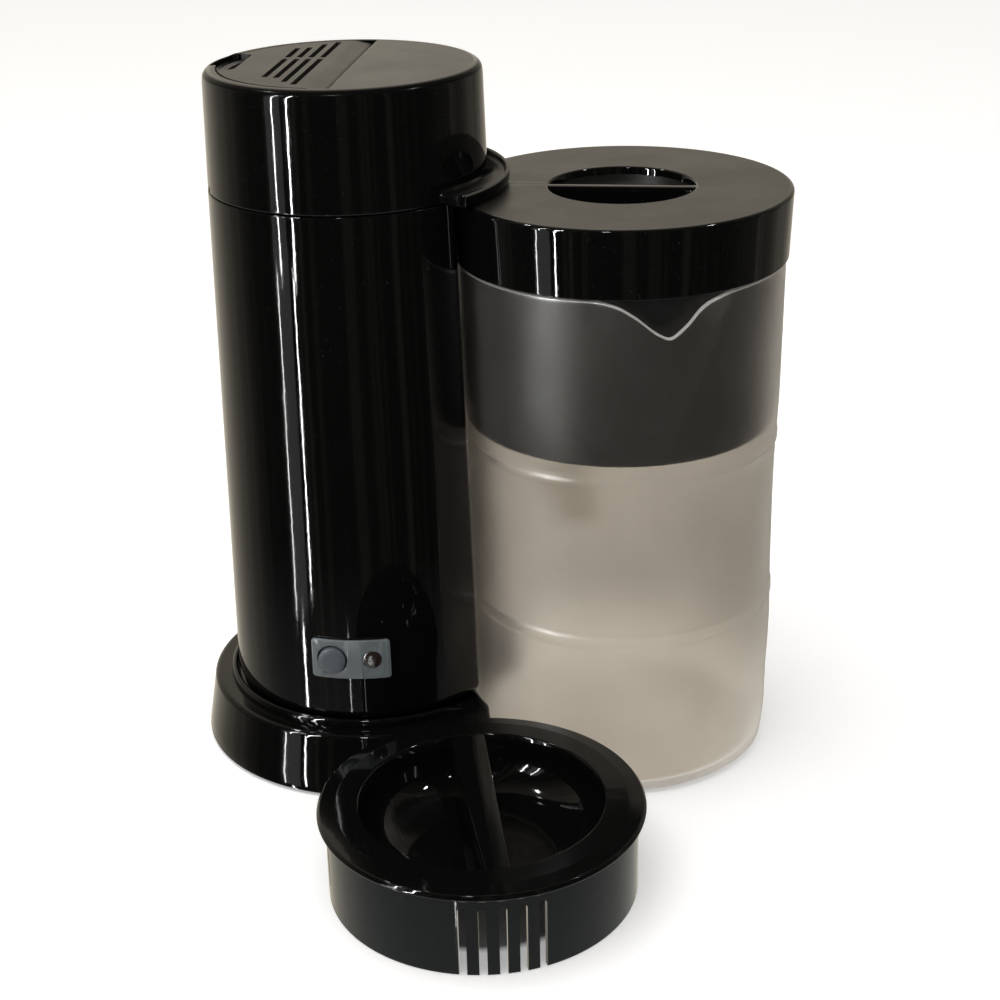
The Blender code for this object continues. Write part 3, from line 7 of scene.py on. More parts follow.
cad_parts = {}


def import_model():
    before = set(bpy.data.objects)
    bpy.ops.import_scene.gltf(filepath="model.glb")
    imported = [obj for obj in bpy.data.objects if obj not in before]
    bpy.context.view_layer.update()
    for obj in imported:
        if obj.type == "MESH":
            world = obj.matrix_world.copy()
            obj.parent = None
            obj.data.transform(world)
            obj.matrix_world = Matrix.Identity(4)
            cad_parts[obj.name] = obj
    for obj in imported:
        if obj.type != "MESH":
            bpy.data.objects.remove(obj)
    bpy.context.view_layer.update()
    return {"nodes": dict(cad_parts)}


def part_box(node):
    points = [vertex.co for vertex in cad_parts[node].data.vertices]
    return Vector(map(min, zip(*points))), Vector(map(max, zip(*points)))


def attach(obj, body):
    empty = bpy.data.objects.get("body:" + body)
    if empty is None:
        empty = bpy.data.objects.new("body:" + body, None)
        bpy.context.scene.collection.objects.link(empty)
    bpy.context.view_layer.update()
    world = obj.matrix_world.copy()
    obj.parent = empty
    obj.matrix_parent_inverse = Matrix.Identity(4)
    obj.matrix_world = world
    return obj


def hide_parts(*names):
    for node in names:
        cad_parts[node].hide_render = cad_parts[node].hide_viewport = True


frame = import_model()

# Lengths below are millimetres about the axis of each group; "place" turns them into the frame's metres.
MM = 0.001
DOCK = 117.7
LID_LOW, LID_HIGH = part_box("basket_lid")
PITCHER_AXIS = Vector(((LID_LOW.x + LID_HIGH.x) / 2, (LID_LOW.y + LID_HIGH.y) / 2, 0.0))
BREWER_AXIS = PITCHER_AXIS - Vector((DOCK * MM, 0.0, 0.0))
SPARE_LOW, SPARE_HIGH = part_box("storage_lid")
SPARE_AXIS = Vector(((SPARE_LOW.x + SPARE_HIGH.x) / 2, (SPARE_LOW.y + SPARE_HIGH.y) / 2, 0.0))
SPARE_TURN = math.radians(14.6)
AROUND = 240


# Numbers

def mix(a, b, t):
    return a + (b - a) * t


def smooth(t):
    t = min(max(t, 0.0), 1.0)
    return t * t * (3 - 2 * t)


def table(rows, x):
    """Value at x from rows of (x, value), straight between rows."""
    if x <= rows[0][0]:
        return rows[0][1]
    for (x0, v0), (x1, v1) in zip(rows[:-1], rows[1:]):
        if x <= x1:
            return mix(v0, v1, (x - x0) / (x1 - x0))
    return rows[-1][1]


def softened(rows, x, width):
    """The table averaged over a width."""
    steps = 9
    return sum(table(rows, x + width * (k / (steps - 1) - 0.5)) for k in range(steps)) / steps


def turn_between(a, b):
    return (a - b + math.pi) % (2 * math.pi) - math.pi


# Sections and meshes

def rounded(points, steps=5):
    """Points are (r, z, radius): every corner with a radius becomes an arc with a short flat each side."""
    out = []
    for k, (r, z, radius) in enumerate(points):
        here = Vector((r, z))
        if not radius or k in (0, len(points) - 1):
            out.append(here)
            continue
        back = Vector(points[k - 1][:2]) - here
        ahead = Vector(points[k + 1][:2]) - here
        room = min(back.length, ahead.length)
        back.normalize()
        ahead.normalize()
        angle = back.angle(ahead)
        leg = radius / math.tan(angle / 2)
        extra = min(0.25, max(room - leg, 0.0) * 0.3)
        centre = here + (back + ahead).normalized() * (radius / math.sin(angle / 2))
        out.append(here + back * (leg + extra))
        first = here + back * leg - centre
        last = here + ahead * leg - centre
        sweep = math.pi - angle
        side = 1 if first.x * last.y - first.y * last.x > 0 else -1
        for s in range(steps + 1):
            a = side * sweep * s / steps
            x = first.x * math.cos(a) - first.y * math.sin(a)
            y = first.x * math.sin(a) + first.y * math.cos(a)
            out.append(centre + Vector((x, y)))
        out.append(here + ahead * (leg + extra))
    return [(p.x, p.y) for p in out]


def skinned(rings, closed=False, caps=False):
    bm = bmesh.new()
    rows = []
    for ring in rings:
        if len(ring) == 1:
            rows.append([bm.verts.new(ring[0])] * len(max(rings, key=len)))
        else:
            rows.append([bm.verts.new(p) for p in ring])
    pairs = list(zip(rows[:-1], rows[1:]))
    if closed:
        pairs.append((rows[-1], rows[0]))
    for low, high in pairs:
        n = len(low)
        for k in range(n):
            j = (k + 1) % n
            corners = []
            for v in (low[k], low[j], high[j], high[k]):
                if v not in corners:
                    corners.append(v)
            if len(corners) > 2:
                bm.faces.new(corners)
    if caps:
        bm.faces.new(list(reversed(rows[0])))
        bm.faces.new(rows[-1])
    bmesh.ops.recalc_face_normals(bm, faces=bm.faces)
    return bm


def round_ring(r, z, count=AROUND):
    if r < 1e-6:
        return [Vector((0.0, 0.0, z))]
    return [Vector((r * math.cos(2 * math.pi * k / count), r * math.sin(2 * math.pi * k / count), z))
            for k in range(count)]


def lathe(section, count=AROUND):
    return skinned([round_ring(r, z, count) for r, z in section])


def prism(outline, low, high):
    return skinned([[Vector((x, y, z)) for x, y in outline] for z in (low, high)], caps=True)


def prism_along_y(outline, near, far):
    """A prism from an outline of (x, z)."""
    return skinned([[Vector((x, y, z)) for x, z in outline] for y in (near, far)], caps=True)


def circle(radius, count, x=0.0, y=0.0, shift=0.0):
    """Points evenly spaced round a circle, from a share of a step past its first bearing."""
    angles = [2 * math.pi * (k + shift) / count for k in range(count)]
    return [(x + radius * math.cos(a), y + radius * math.sin(a)) for a in angles]


def arc(x, y, radius, start, end, steps, skip_first=False):
    first = 1 if skip_first else 0
    angles = [start + (end - start) * k / steps for k in range(first, steps + 1)]
    return [(x + radius * math.cos(a), y + radius * math.sin(a)) for a in angles]


def rounded_box(width, height, corner, steps=6, x=0.0, y=0.0):
    w, h = width / 2 - corner, height / 2 - corner
    points = []
    for k, (cx, cy) in enumerate([(w, h), (-w, h), (-w, -h), (w, -h)]):
        points += arc(x + cx, y + cy, corner, k * math.pi / 2, (k + 1) * math.pi / 2, steps)
    return points


def place(name, bm, axis, turn=0.0, sharp=38):
    """A mesh object from millimetres about an axis, standing in the frame's metres."""
    bm.transform(Matrix.Translation(axis) @ Matrix.Rotation(turn, 4, "Z") @ Matrix.Scale(MM, 4))
    mesh = bpy.data.meshes.new(name)
    bm.to_mesh(mesh)
    bm.free()
    mesh.shade_smooth()
    mesh.set_sharp_from_angle(angle=math.radians(sharp))
    piece = bpy.data.objects.new(name, mesh)
    bpy.context.scene.collection.objects.link(piece)
    return piece


def apply_modifiers(piece):
    bpy.context.view_layer.update()
    graph = bpy.context.evaluated_depsgraph_get()
    result = bpy.data.meshes.new_from_object(piece.evaluated_get(graph))
    piece.modifiers.clear()
    piece.data = result


def boolean(piece, bm, operation, axis, turn=0.0, sharp=38):
    tool = place("tool", bm, axis, turn)
    step = piece.modifiers.new("Cut", "BOOLEAN")
    step.operation = operation
    step.solver = "EXACT"
    step.object = tool
    apply_modifiers(piece)
    bpy.data.objects.remove(tool, do_unlink=True)
    piece.data.shade_smooth()
    piece.data.set_sharp_from_angle(angle=math.radians(sharp))


def together(parts):
    whole = bmesh.new()
    for part in parts:
        mesh = bpy.data.meshes.new("part")
        part.to_mesh(mesh)
        part.free()
        whole.from_mesh(mesh)
        bpy.data.meshes.remove(mesh)
    return whole


def turned_by(bm, turn):
    bm.transform(Matrix.Rotation(turn, 4, "Z"))
    return bm


def soften(piece, width, segments=2, angle=45):
    """A small rounding on every edge, with the flats kept flat."""
    step = piece.modifiers.new("Bevel", "BEVEL")
    step.width = width * MM
    step.segments = segments
    step.limit_method = "ANGLE"
    step.angle_limit = math.radians(angle)
    step.harden_normals = True
    step.use_clamp_overlap = True


# Materials

def shader_tree(name):
    material = bpy.data.materials.new(name)
    material.use_nodes = True
    tree = material.node_tree
    shader = tree.nodes["Principled BSDF"]
    return material, tree, shader


def node(tree, kind, inputs=None, **fields):
    made = tree.nodes.new(kind)
    for key, value in fields.items():
        setattr(made, key, value)
    for key, value in (inputs or {}).items():
        if isinstance(value, bpy.types.NodeSocket):
            tree.links.new(value, made.inputs[key])
        else:
            made.inputs[key].default_value = value
    return made


def noise(tree, scale, detail=2.0, rough=0.5, stretch=(1.0, 1.0, 1.0)):
    place_in = node(tree, "ShaderNodeTexCoord").outputs["Object"]
    mapped = node(tree, "ShaderNodeMapping", {"Vector": place_in, "Scale": stretch}).outputs["Vector"]
    return node(tree, "ShaderNodeTexNoise",
                {"Vector": mapped, "Scale": scale, "Detail": detail, "Roughness": rough}).outputs["Fac"]


def span(tree, value, low, high, out_low, out_high):
    return node(tree, "ShaderNodeMapRange", {"Value": value, "From Min": low, "From Max": high,
                                             "To Min": out_low, "To Max": out_high}).outputs["Result"]


def maths(tree, operation, a, b):
    return node(tree, "ShaderNodeMath", {0: a, 1: b}, operation=operation).outputs[0]


def tint(tree, factor, a, b):
    made = node(tree, "ShaderNodeMix", {"Factor": factor}, data_type="RGBA")
    made.inputs["A"].default_value = (*a, 1.0)
    made.inputs["B"].default_value = (*b, 1.0)
    return made.outputs["Result"]


def bumped(tree, shader, layers):
    """Layers are (height, strength, distance); each rides on the one before."""
    normal = None
    for height, strength, distance in layers:
        bump = node(tree, "ShaderNodeBump", {"Height": height, "Strength": strength, "Distance": distance})
        if normal is not None:
            tree.links.new(normal, bump.inputs["Normal"])
        normal = bump.outputs["Normal"]
    tree.links.new(normal, shader.inputs["Normal"])


def gloss_black(name, wave=1.0, low=0.03, high=0.075, specular=0.24):
    """Moulded gloss plastic: slow waves in the wall, hazy patches, fine dust specks."""
    material, tree, shader = shader_tree(name)
    haze = noise(tree, 28.0, 4.0, 0.6)
    specks = noise(tree, 1500.0, 1.0, 0.5)
    dust = span(tree, specks, 0.745, 0.80, 0.0, 1.0)
    tree.links.new(tint(tree, dust, (0.0028, 0.0028, 0.0027), (0.05, 0.048, 0.044)),
                   shader.inputs["Base Color"])
    rough = span(tree, haze, 0.35, 0.70, low, high)
    tree.links.new(rough, shader.inputs["Roughness"])
    shader.inputs["Specular IOR Level"].default_value = specular
    waves = noise(tree, 16.0, 1.0, 0.4, (1.0, 1.0, 0.42))
    orange = noise(tree, 170.0, 1.0, 0.4)
    bumped(tree, shader, [(waves, 0.30 * wave, 0.0022), (orange, 0.10, 0.00022)])
    return material


def grained(name, dark, light, rough_low, rough_high, grain=1900.0, strength=0.22, patch=30.0,
            specular=0.5, ior=1.5):
    """Moulded plastic or rubber with a fine grain, wipe marks and slight colour drift."""
    material, tree, shader = shader_tree(name)
    patches = noise(tree, patch, 5.0, 0.62)
    fine = noise(tree, grain, 2.0, 0.6)
    share = span(tree, patches, 0.3, 0.7, 0.0, 1.0)
    tree.links.new(tint(tree, share, dark, light), shader.inputs["Base Color"])
    tree.links.new(span(tree, patches, 0.3, 0.72, rough_low, rough_high), shader.inputs["Roughness"])
    shader.inputs["Specular IOR Level"].default_value = specular
    shader.inputs["IOR"].default_value = ior
    bumped(tree, shader, [(fine, strength, 0.00018)])
    return material


def metal(name, colour, rough_low, rough_high, stretch=(1.0, 1.0, 1.0), grain=900.0):
    material, tree, shader = shader_tree(name)
    shader.inputs["Metallic"].default_value = 1.0
    lines = noise(tree, grain, 3.0, 0.6, stretch)
    worn = noise(tree, 60.0, 4.0, 0.6)
    pale = tuple(min(c * 1.12, 1.0) for c in colour)
    tree.links.new(tint(tree, worn, tuple(c * 0.86 for c in colour), pale), shader.inputs["Base Color"])
    tree.links.new(span(tree, worn, 0.3, 0.7, rough_low, rough_high), shader.inputs["Roughness"])
    bumped(tree, shader, [(lines, 0.25, 0.0001)])
    return material


def frosted():
    """Milky see-through plastic with cloudy patches and a satin skin."""
    material, tree, shader = shader_tree("frosted_plastic")
    cloud = noise(tree, 13.0, 4.0, 0.55)
    share = span(tree, cloud, 0.32, 0.68, 0.0, 1.0)
    tree.links.new(tint(tree, share, (0.55, 0.517, 0.470), (0.665, 0.630, 0.577)),
                   shader.inputs["Base Color"])
    tree.links.new(span(tree, cloud, 0.3, 0.7, 0.34, 0.44), shader.inputs["Roughness"])
    tree.links.new(span(tree, cloud, 0.3, 0.7, 0.30, 0.36), shader.inputs["Coat Roughness"])
    shader.inputs["Transmission Weight"].default_value = 0.99
    shader.inputs["IOR"].default_value = 1.12
    shader.inputs["Coat Weight"].default_value = 0.20
    shader.inputs["Coat IOR"].default_value = 1.5
    fine = noise(tree, 1300.0, 2.0, 0.6)
    slow = noise(tree, 45.0, 2.0, 0.5)
    bumped(tree, shader, [(slow, 0.12, 0.0008), (fine, 0.16, 0.00012)])
    return material


def frosted_rim_highlight():
    """The same plastic, made lighter and less clear along the rim: a painted highlight where its edge would
    gather light.
    """
    material, tree, shader = shader_tree("frosted_rim_highlight")
    cloud = noise(tree, 40.0, 3.0, 0.5)
    tree.links.new(tint(tree, cloud, (0.62, 0.60, 0.57), (0.80, 0.78, 0.74)), shader.inputs["Base Color"])
    shader.inputs["Transmission Weight"].default_value = 0.45
    tree.links.new(span(tree, cloud, 0.3, 0.7, 0.26, 0.36), shader.inputs["Roughness"])
    return material


def amber():
    material, tree, shader = shader_tree("amber_lens")
    inside = noise(tree, 900.0, 2.0, 0.5)
    tree.links.new(tint(tree, inside, (0.008, 0.006, 0.005), (0.030, 0.014, 0.010)),
                   shader.inputs["Base Color"])
    tree.links.new(span(tree, inside, 0.3, 0.7, 0.08, 0.2), shader.inputs["Roughness"])
    shader.inputs["Specular IOR Level"].default_value = 0.6
    return material


GLOSS = gloss_black("gloss_black_plastic")
GLOSS_LID = gloss_black("gloss_black_lid", wave=0.6)
TOP_MATTE = grained("satin_top", (0.030, 0.028, 0.025), (0.040, 0.037, 0.033), 0.36, 0.46, 1700.0, 0.16)
LID_MATTE = grained("satin_lid_top", (0.012, 0.011, 0.009), (0.017, 0.016, 0.013), 0.30, 0.40,
                    1500.0, 0.12, specular=0.25)
# Painted shade: a darker, duller copy of the lid's satin top for the hollow of its dish.
DISH_PAINTED_SHADE = grained("dish_satin_painted_shade", (0.007, 0.007, 0.005), (0.010, 0.010, 0.008), 0.44, 0.54,
                     1500.0, 0.10, specular=0.2)
# Painted shade: a darker, less reflective copy of the head's gloss black for the eave's tray and the inside
# of the filling opening.
TRAY_PAINTED_SHADE = grained("tray_painted_shade", (0.002, 0.002, 0.002), (0.004, 0.004, 0.004), 0.12, 0.20,
                     1500.0, 0.08, ior=1.12)
FLAP_MATTE = grained("satin_flap", (0.024, 0.022, 0.019), (0.033, 0.031, 0.026), 0.38, 0.48,
                     1800.0, 0.18, specular=0.4)
BASKET_BLACK = grained("satin_basket", (0.004, 0.004, 0.004), (0.007, 0.007, 0.007), 0.30, 0.42,
                       1500.0, 0.15, specular=0.3)
TANK_BLACK = grained("moulded_tank", (0.022, 0.022, 0.024), (0.034, 0.034, 0.036), 0.45, 0.58)
PLATE_GREY = grained("satin_plate", (0.118, 0.137, 0.146), (0.136, 0.157, 0.166), 0.36, 0.44,
                     2600.0, 0.14, 90.0)
BUTTON_GREY = grained("satin_button", (0.076, 0.092, 0.105), (0.090, 0.108, 0.122), 0.34, 0.42,
                      2600.0, 0.14, 90.0)
RUBBER = grained("soft_rubber", (0.016, 0.016, 0.016), (0.026, 0.025, 0.024), 0.68, 0.82, 1200.0, 0.4)
SILICONE = grained("milky_silicone", (0.56, 0.54, 0.50), (0.66, 0.64, 0.60), 0.48, 0.60, 700.0, 0.12)
MOULDED = grained("moulded_black", (0.018, 0.018, 0.018), (0.030, 0.030, 0.029), 0.52, 0.66, 1000.0, 0.3)
ALUMINIUM = metal("cast_aluminium", (0.60, 0.61, 0.62), 0.34, 0.50, grain=500.0)
STEEL = metal("bright_steel", (0.54, 0.55, 0.56), 0.22, 0.36, (1.0, 1.0, 0.06))
FROSTED = frosted()
FROSTED_RIM_HIGHLIGHT = frosted_rim_highlight()
AMBER = amber()


def finish_piece(piece, material, body, slot, *nodes):
    piece.data.materials.clear()
    piece.data.materials.append(material)
    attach(piece, body)
    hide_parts(*nodes)


def add_finish(piece, material, chosen):
    """Another finish on the faces that are chosen."""
    piece.data.materials.append(material)
    index = len(piece.data.materials) - 1
    for face in piece.data.polygons:
        if chosen(face):
            face.material_index = index


def middle(face, axis):
    """Middle of a face, in millimetres about an axis."""
    return (face.center - axis) / MM


# Shared forms of the brewer

BASE_TOP_Z = 29.0
BODY_Z, SEAM_Z = 30.0, 260.8
CAP_Z, CAP_TOP_Z = 261.4, 311.3
BASE_RADII = (80.3, 75.2)
BODY_RADII = (64.1, 60.2)
CAP_RADII = (60.1, 58.9)
DOCK_RADII, DOCK_HEIGHT = (69.4, 73.8), 260.5
BASE_WALL, BASE_ROUND = 2.5, 2.0
RIDGE_INSETS, RIDGE_PROUD = (7.4, 10.9), 3.5
GLAND_Z, GLAND_HOLE = 14.5, 5.5
BODY_WALL, BODY_FOOT_ROUND = 2.4, 5.0
EAVE_RADIUS, EAVE_SHIFT = 75.0, -5.0
OPENING_RADIUS, OPENING_SIDE = 53.25, 5.1
CORNER_REACH = 53.1
TRAY_WALL_Z = 266.0
NOZZLE_X, NOZZLE_HOLE = 53.5, 3.7
PRY_BEARING = math.radians(-156)
FLAP_LOW_Z = 308.9
FLAP_RADIUS, FLAP_CHORD = 52.3, 2.2
SLOT_RADIUS = 52.6
HINGE_X, HINGE_Z = 1.5, 307.9
HINGE_RIB, HINGE_BORE = 2.2, 1.1
HINGE_SHIFT = 0.37
CONTROL_TURN = math.radians(2)
CONTROL_Z, KNOB_Z = 61.6, 62.0
BUTTON_X, LAMP_X = -7.5, 10.1
BUTTON_HOLE, LAMP_HOLE = 6.6, 4.1
PLATE_BACK, PLATE_FRONT = 0.3, 1.8


def dock_radius(z):
    return mix(*DOCK_RADII, z / DOCK_HEIGHT)


def crescent(radius, hold, corner, outer=150, inner=60, bends=8):
    """Round outline with the pitcher's round recess taken out of its +X side."""
    reach = radius - corner
    far = hold + corner
    x = (DOCK ** 2 + reach ** 2 - far ** 2) / (2 * DOCK)
    y = math.sqrt(reach ** 2 - x ** 2)
    a = math.atan2(y, x)
    b = math.atan2(y, x - DOCK)
    points = arc(0.0, 0.0, radius, a, 2 * math.pi - a, outer)
    points += arc(x, -y, corner, -a, math.pi - b, bends, True)
    points += arc(DOCK, 0.0, hold, 2 * math.pi - b, b, inner, True)
    points += arc(x, y, corner, b - math.pi, a, bends, True)[:-1]
    return points


def body_radius(z):
    return mix(*BODY_RADII, (z - BODY_Z) / (SEAM_Z - BODY_Z))


def body_ring(inset, z):
    outline = crescent(body_radius(z) - inset, dock_radius(z) + inset, max(3.0 - inset, 1.0))
    return [Vector((x, y, z)) for x, y in outline]


def base_ring(inset, z, rise=0.0):
    radius = mix(*BASE_RADII, min(max(z / BASE_TOP_Z, 0.0), 1.0)) - inset
    outline = crescent(radius, dock_radius(z) + inset, max(6.0 - inset, 1.0))
    ring = []
    for k, (x, y) in enumerate(outline):
        away = min(k, 150 - k) if k <= 150 else 0
        ring.append(Vector((x, y, z + rise * smooth(away / 7))))
    return ring


def cap_radius(z):
    return mix(*CAP_RADII, (z - CAP_Z) / (CAP_TOP_Z - CAP_Z))


def gloss_base():
    shoulder = BASE_TOP_Z - BASE_ROUND
    rings = [base_ring(BASE_WALL, 1.2), base_ring(0.5, 1.2), base_ring(0.1, 1.4), base_ring(0.0, 1.9)]
    rings += [base_ring(0.0, z) for z in (8.5, 20.5, 26.7, shoulder)]
    for k in range(1, 7):
        a = math.pi / 2 * k / 6
        rings.append(base_ring(BASE_ROUND * (1 - math.cos(a)), shoulder + BASE_ROUND * math.sin(a)))
    rings += [base_ring(2.3, BASE_TOP_Z), base_ring(7.0, BASE_TOP_Z)]
    for k in range(11):
        a = math.pi * k / 10
        inset = mix(*RIDGE_INSETS, (1 - math.cos(a)) / 2)
        rings.append(base_ring(inset, BASE_TOP_Z, RIDGE_PROUD * math.sin(a) ** 0.8))
    rings += [base_ring(11.0, 29.3), base_ring(11.4, 29.5), base_ring(18.6, 29.5), base_ring(18.6, 26.5)]
    rings += [base_ring(2.9, 26.5), base_ring(BASE_WALL, 26.0)]
    piece = place("base_gloss", skinned(rings, closed=True), BREWER_AXIS)
    hole = prism_along_y(circle(GLAND_HOLE, 48, 0.0, GLAND_Z), 70.0, 84.0)
    boolean(piece, hole, "DIFFERENCE", BREWER_AXIS)
    finish_piece(piece, GLOSS, "brewer", "gloss_black", "base_shell")


def gloss_body():
    rings = []
    for k in range(8):
        a = math.pi / 2 * k / 7
        height = BODY_Z + BODY_FOOT_ROUND * (1 - math.cos(a))
        rings.append(body_ring(BODY_FOOT_ROUND * (1 - math.sin(a)), height))
    rings += [body_ring(0.0, z) for z in (35.4, 52.5, 70.7, 110.0, 160.0, 210.0, 259.9, 260.3)]
    for k in range(1, 4):
        a = math.pi / 2 * k / 3
        rings.append(body_ring(0.5 * (1 - math.cos(a)), 260.3 + 0.5 * math.sin(a)))
    rings += [body_ring(BODY_WALL, z) for z in (SEAM_Z, 70.7, 52.5, 36.0)]
    rings.append(body_ring(BODY_FOOT_ROUND, 32.4))
    piece = place("body_gloss", skinned(rings, closed=True), BREWER_AXIS)
    outline = rounded_box(33.0, 16.4, 7.0, 6, 1.3, 0.0)
    window = prism_along_y([(x, CONTROL_Z + z) for x, z in outline], -70.0, -50.0)
    boolean(piece, window, "DIFFERENCE", BREWER_AXIS, CONTROL_TURN)
    finish_piece(piece, GLOSS, "brewer", "gloss_black", "body_shell")


def eave_reach(a):
    """Distance of the eave's edge, a circle whose middle is shifted from the axis."""
    along = EAVE_SHIFT * math.cos(a) + EAVE_SHIFT * math.sin(a)
    return along + math.sqrt(EAVE_RADIUS ** 2 - (2 * EAVE_SHIFT ** 2 - along ** 2))


def eave_share(a):
    """1 where the eave stands out, 0 where the wall is plain."""
    a = turn_between(a, 0.0)
    front = smooth((a - math.radians(-40.5)) / math.radians(2.0))
    back = smooth((math.radians(44.0) - a) / math.radians(9.0))
    return min(front, back)


def opening_radius(a, grow=0.0):
    """Edge of the filling opening: a half-round with its straight side just past the axis."""
    side = math.cos(a)
    arc_part = OPENING_RADIUS + grow
    return min(arc_part, (OPENING_SIDE + grow) / side) if side > 1e-6 else arc_part


def cap_bearings():
    """Bearings of the head's sections, closer together where its shape turns quickly."""
    edge = math.acos(OPENING_SIDE / CORNER_REACH)
    angles = [2 * math.pi * k / 240 for k in range(240)]
    angles = [a for a in angles if abs(abs(turn_between(a, 0.0)) - edge) > 0.012]
    angles = [a for a in angles if not -41.2 < math.degrees(turn_between(a, 0.0)) < -37.8]
    angles += [edge, 2 * math.pi - edge]
    angles += [2 * math.pi + math.radians(-41.0 + 0.3 * k) for k in range(11)]
    return sorted(angles)


def notch_share(a):
    """1 where the rim is scooped out beside the flap's finger notch."""
    y = 56.0 * math.sin(a)
    if math.cos(a) > 0:
        return 0.0
    return smooth((y + 6.0) / 3.0) * smooth((21.0 - y) / 3.0)


def body_bore(angles):
    """The opening under the head, as a radius for each bearing, from the body's inner outline."""
    outline = crescent(body_radius(SEAM_Z) - 2.4, dock_radius(SEAM_Z) + 2.4, 1.0)
    polar = sorted((math.atan2(y, x) % (2 * math.pi), math.hypot(x, y)) for x, y in outline)
    polar = [(polar[-1][0] - 2 * math.pi, polar[-1][1])] + polar + [(polar[0][0] + 2 * math.pi, polar[0][1])]
    return [table(polar, a) for a in angles]


def gloss_cap():
    angles = cap_bearings()
    top = CAP_TOP_Z
    sections = []
    for a, bore in zip(angles, body_bore(angles)):
        s = eave_share(a)
        n = notch_share(a)
        reach = eave_reach(a)
        wide = opening_radius(a)
        points = [(wide, FLAP_LOW_Z), (wide, top - 0.35), (opening_radius(a, 0.1), top - 0.1),
                  (opening_radius(a, 0.4), top)]
        points += [(opening_radius(a, 0.7), top), (max(opening_radius(a, 1.0), 54.5), top)]
        points += [(54.9, top), (55.2, top)]
        for k in range(1, 8):
            t = math.pi / 2 * k / 7
            points.append((55.2 + 3.7 * math.sin(t), top - 3.7 * (1 - math.cos(t))))
        if n > 0:
            dip = 5.2 * n
            lowered = []
            for r, z in points[1:12]:
                lowered.append((r, z - dip * smooth((56.9 - r) / 0.5)))
            points[1:12] = lowered
        points += [(cap_radius(z), z) for z in (306.8, 295.0, 282.0, 272.0, 268.0, 267.2)]
        wall = cap_radius(TRAY_WALL_Z)
        tray = [(wall + 0.15, 266.6), (wall + 0.5, 265.6), (wall + 1.1, 264.6), (wall + 2.1, 263.8),
                (wall + 3.2, 263.45), (mix(wall + 3.2, reach - 2.9, 0.5), 263.35), (reach - 2.9, 263.4),
                (reach - 2.0, 263.8), (reach - 1.6, 264.6), (reach - 1.5, 266.2), (reach - 1.3, 266.7),
                (reach - 0.9, 266.95), (reach - 0.4, 266.8), (reach - 0.05, 266.3), (reach, 265.6),
                (reach, 263.0), (reach - 0.3, 262.2), (reach - 0.9, 261.6), (reach - 1.6, 261.4)]
        count = len(tray)
        for k, (r, z) in enumerate(tray):
            level = mix(266.6, 261.9, k / (count - 1))
            points.append((mix(cap_radius(level), r, s), mix(level, z, s)))
        foot = cap_radius(CAP_Z)
        points += [(foot - 0.15, 261.55), (foot - 0.5, 261.4), (max(bore + 0.4, foot - 2.2), 261.4)]
        points += [(bore, 261.4), (bore, 264.0), (foot - 2.5, 264.2), (cap_radius(300.0) - 2.4, 306.5),
                   (cap_radius(300.0) - 3.2, FLAP_LOW_Z)]
        sections.append([Vector((r * math.cos(a), r * math.sin(a), z)) for r, z in points])
    rings = [list(ring) for ring in zip(*sections)]
    piece = place("cap_gloss", skinned(rings, closed=True), BREWER_AXIS, sharp=42)
    nozzle = prism(circle(NOZZLE_HOLE, 40, NOZZLE_X), 260.0, 266.5)
    boolean(piece, nozzle, "DIFFERENCE", BREWER_AXIS, sharp=42)
    notch = prism([(58.9, -1.5), (62.0, -1.5), (62.0, 1.5), (58.9, 1.5)], 260.0, 264.0)
    boolean(piece, notch, "DIFFERENCE", BREWER_AXIS, PRY_BEARING, sharp=42)
    finish_piece(piece, GLOSS, "brewer", "gloss_black", "cap_shell")

    def past_wall(local):
        return math.hypot(local.x, local.y) - cap_radius(TRAY_WALL_Z)

    def satin(face):
        local = middle(face, BREWER_AXIS)
        flat_top = local.z > top - 0.02 and face.normal.z > 0.9 and math.hypot(local.x, local.y) < 55.3
        # The eave's rim takes the lighter satin top finish so that it shows as a thin bright line: a painted
        # highlight.
        rim_painted_highlight = past_wall(local) > 0.6 and face.normal.z > 0.25
        return flat_top or rim_painted_highlight

    # Painted shade: the eave's tray and the walls inside the filling opening take the darker, less reflective
    # black.
    def painted_shade_faces(face):
        local = middle(face, BREWER_AXIS)
        in_tray = past_wall(local) > 0.6 and local.z < 266.3
        scooped = 302.0 < local.z < top - 0.3 and past_wall(local) < -1.5
        return in_tray or scooped
    add_finish(piece, TOP_MATTE, satin)
    add_finish(piece, TRAY_PAINTED_SHADE, painted_shade_faces)


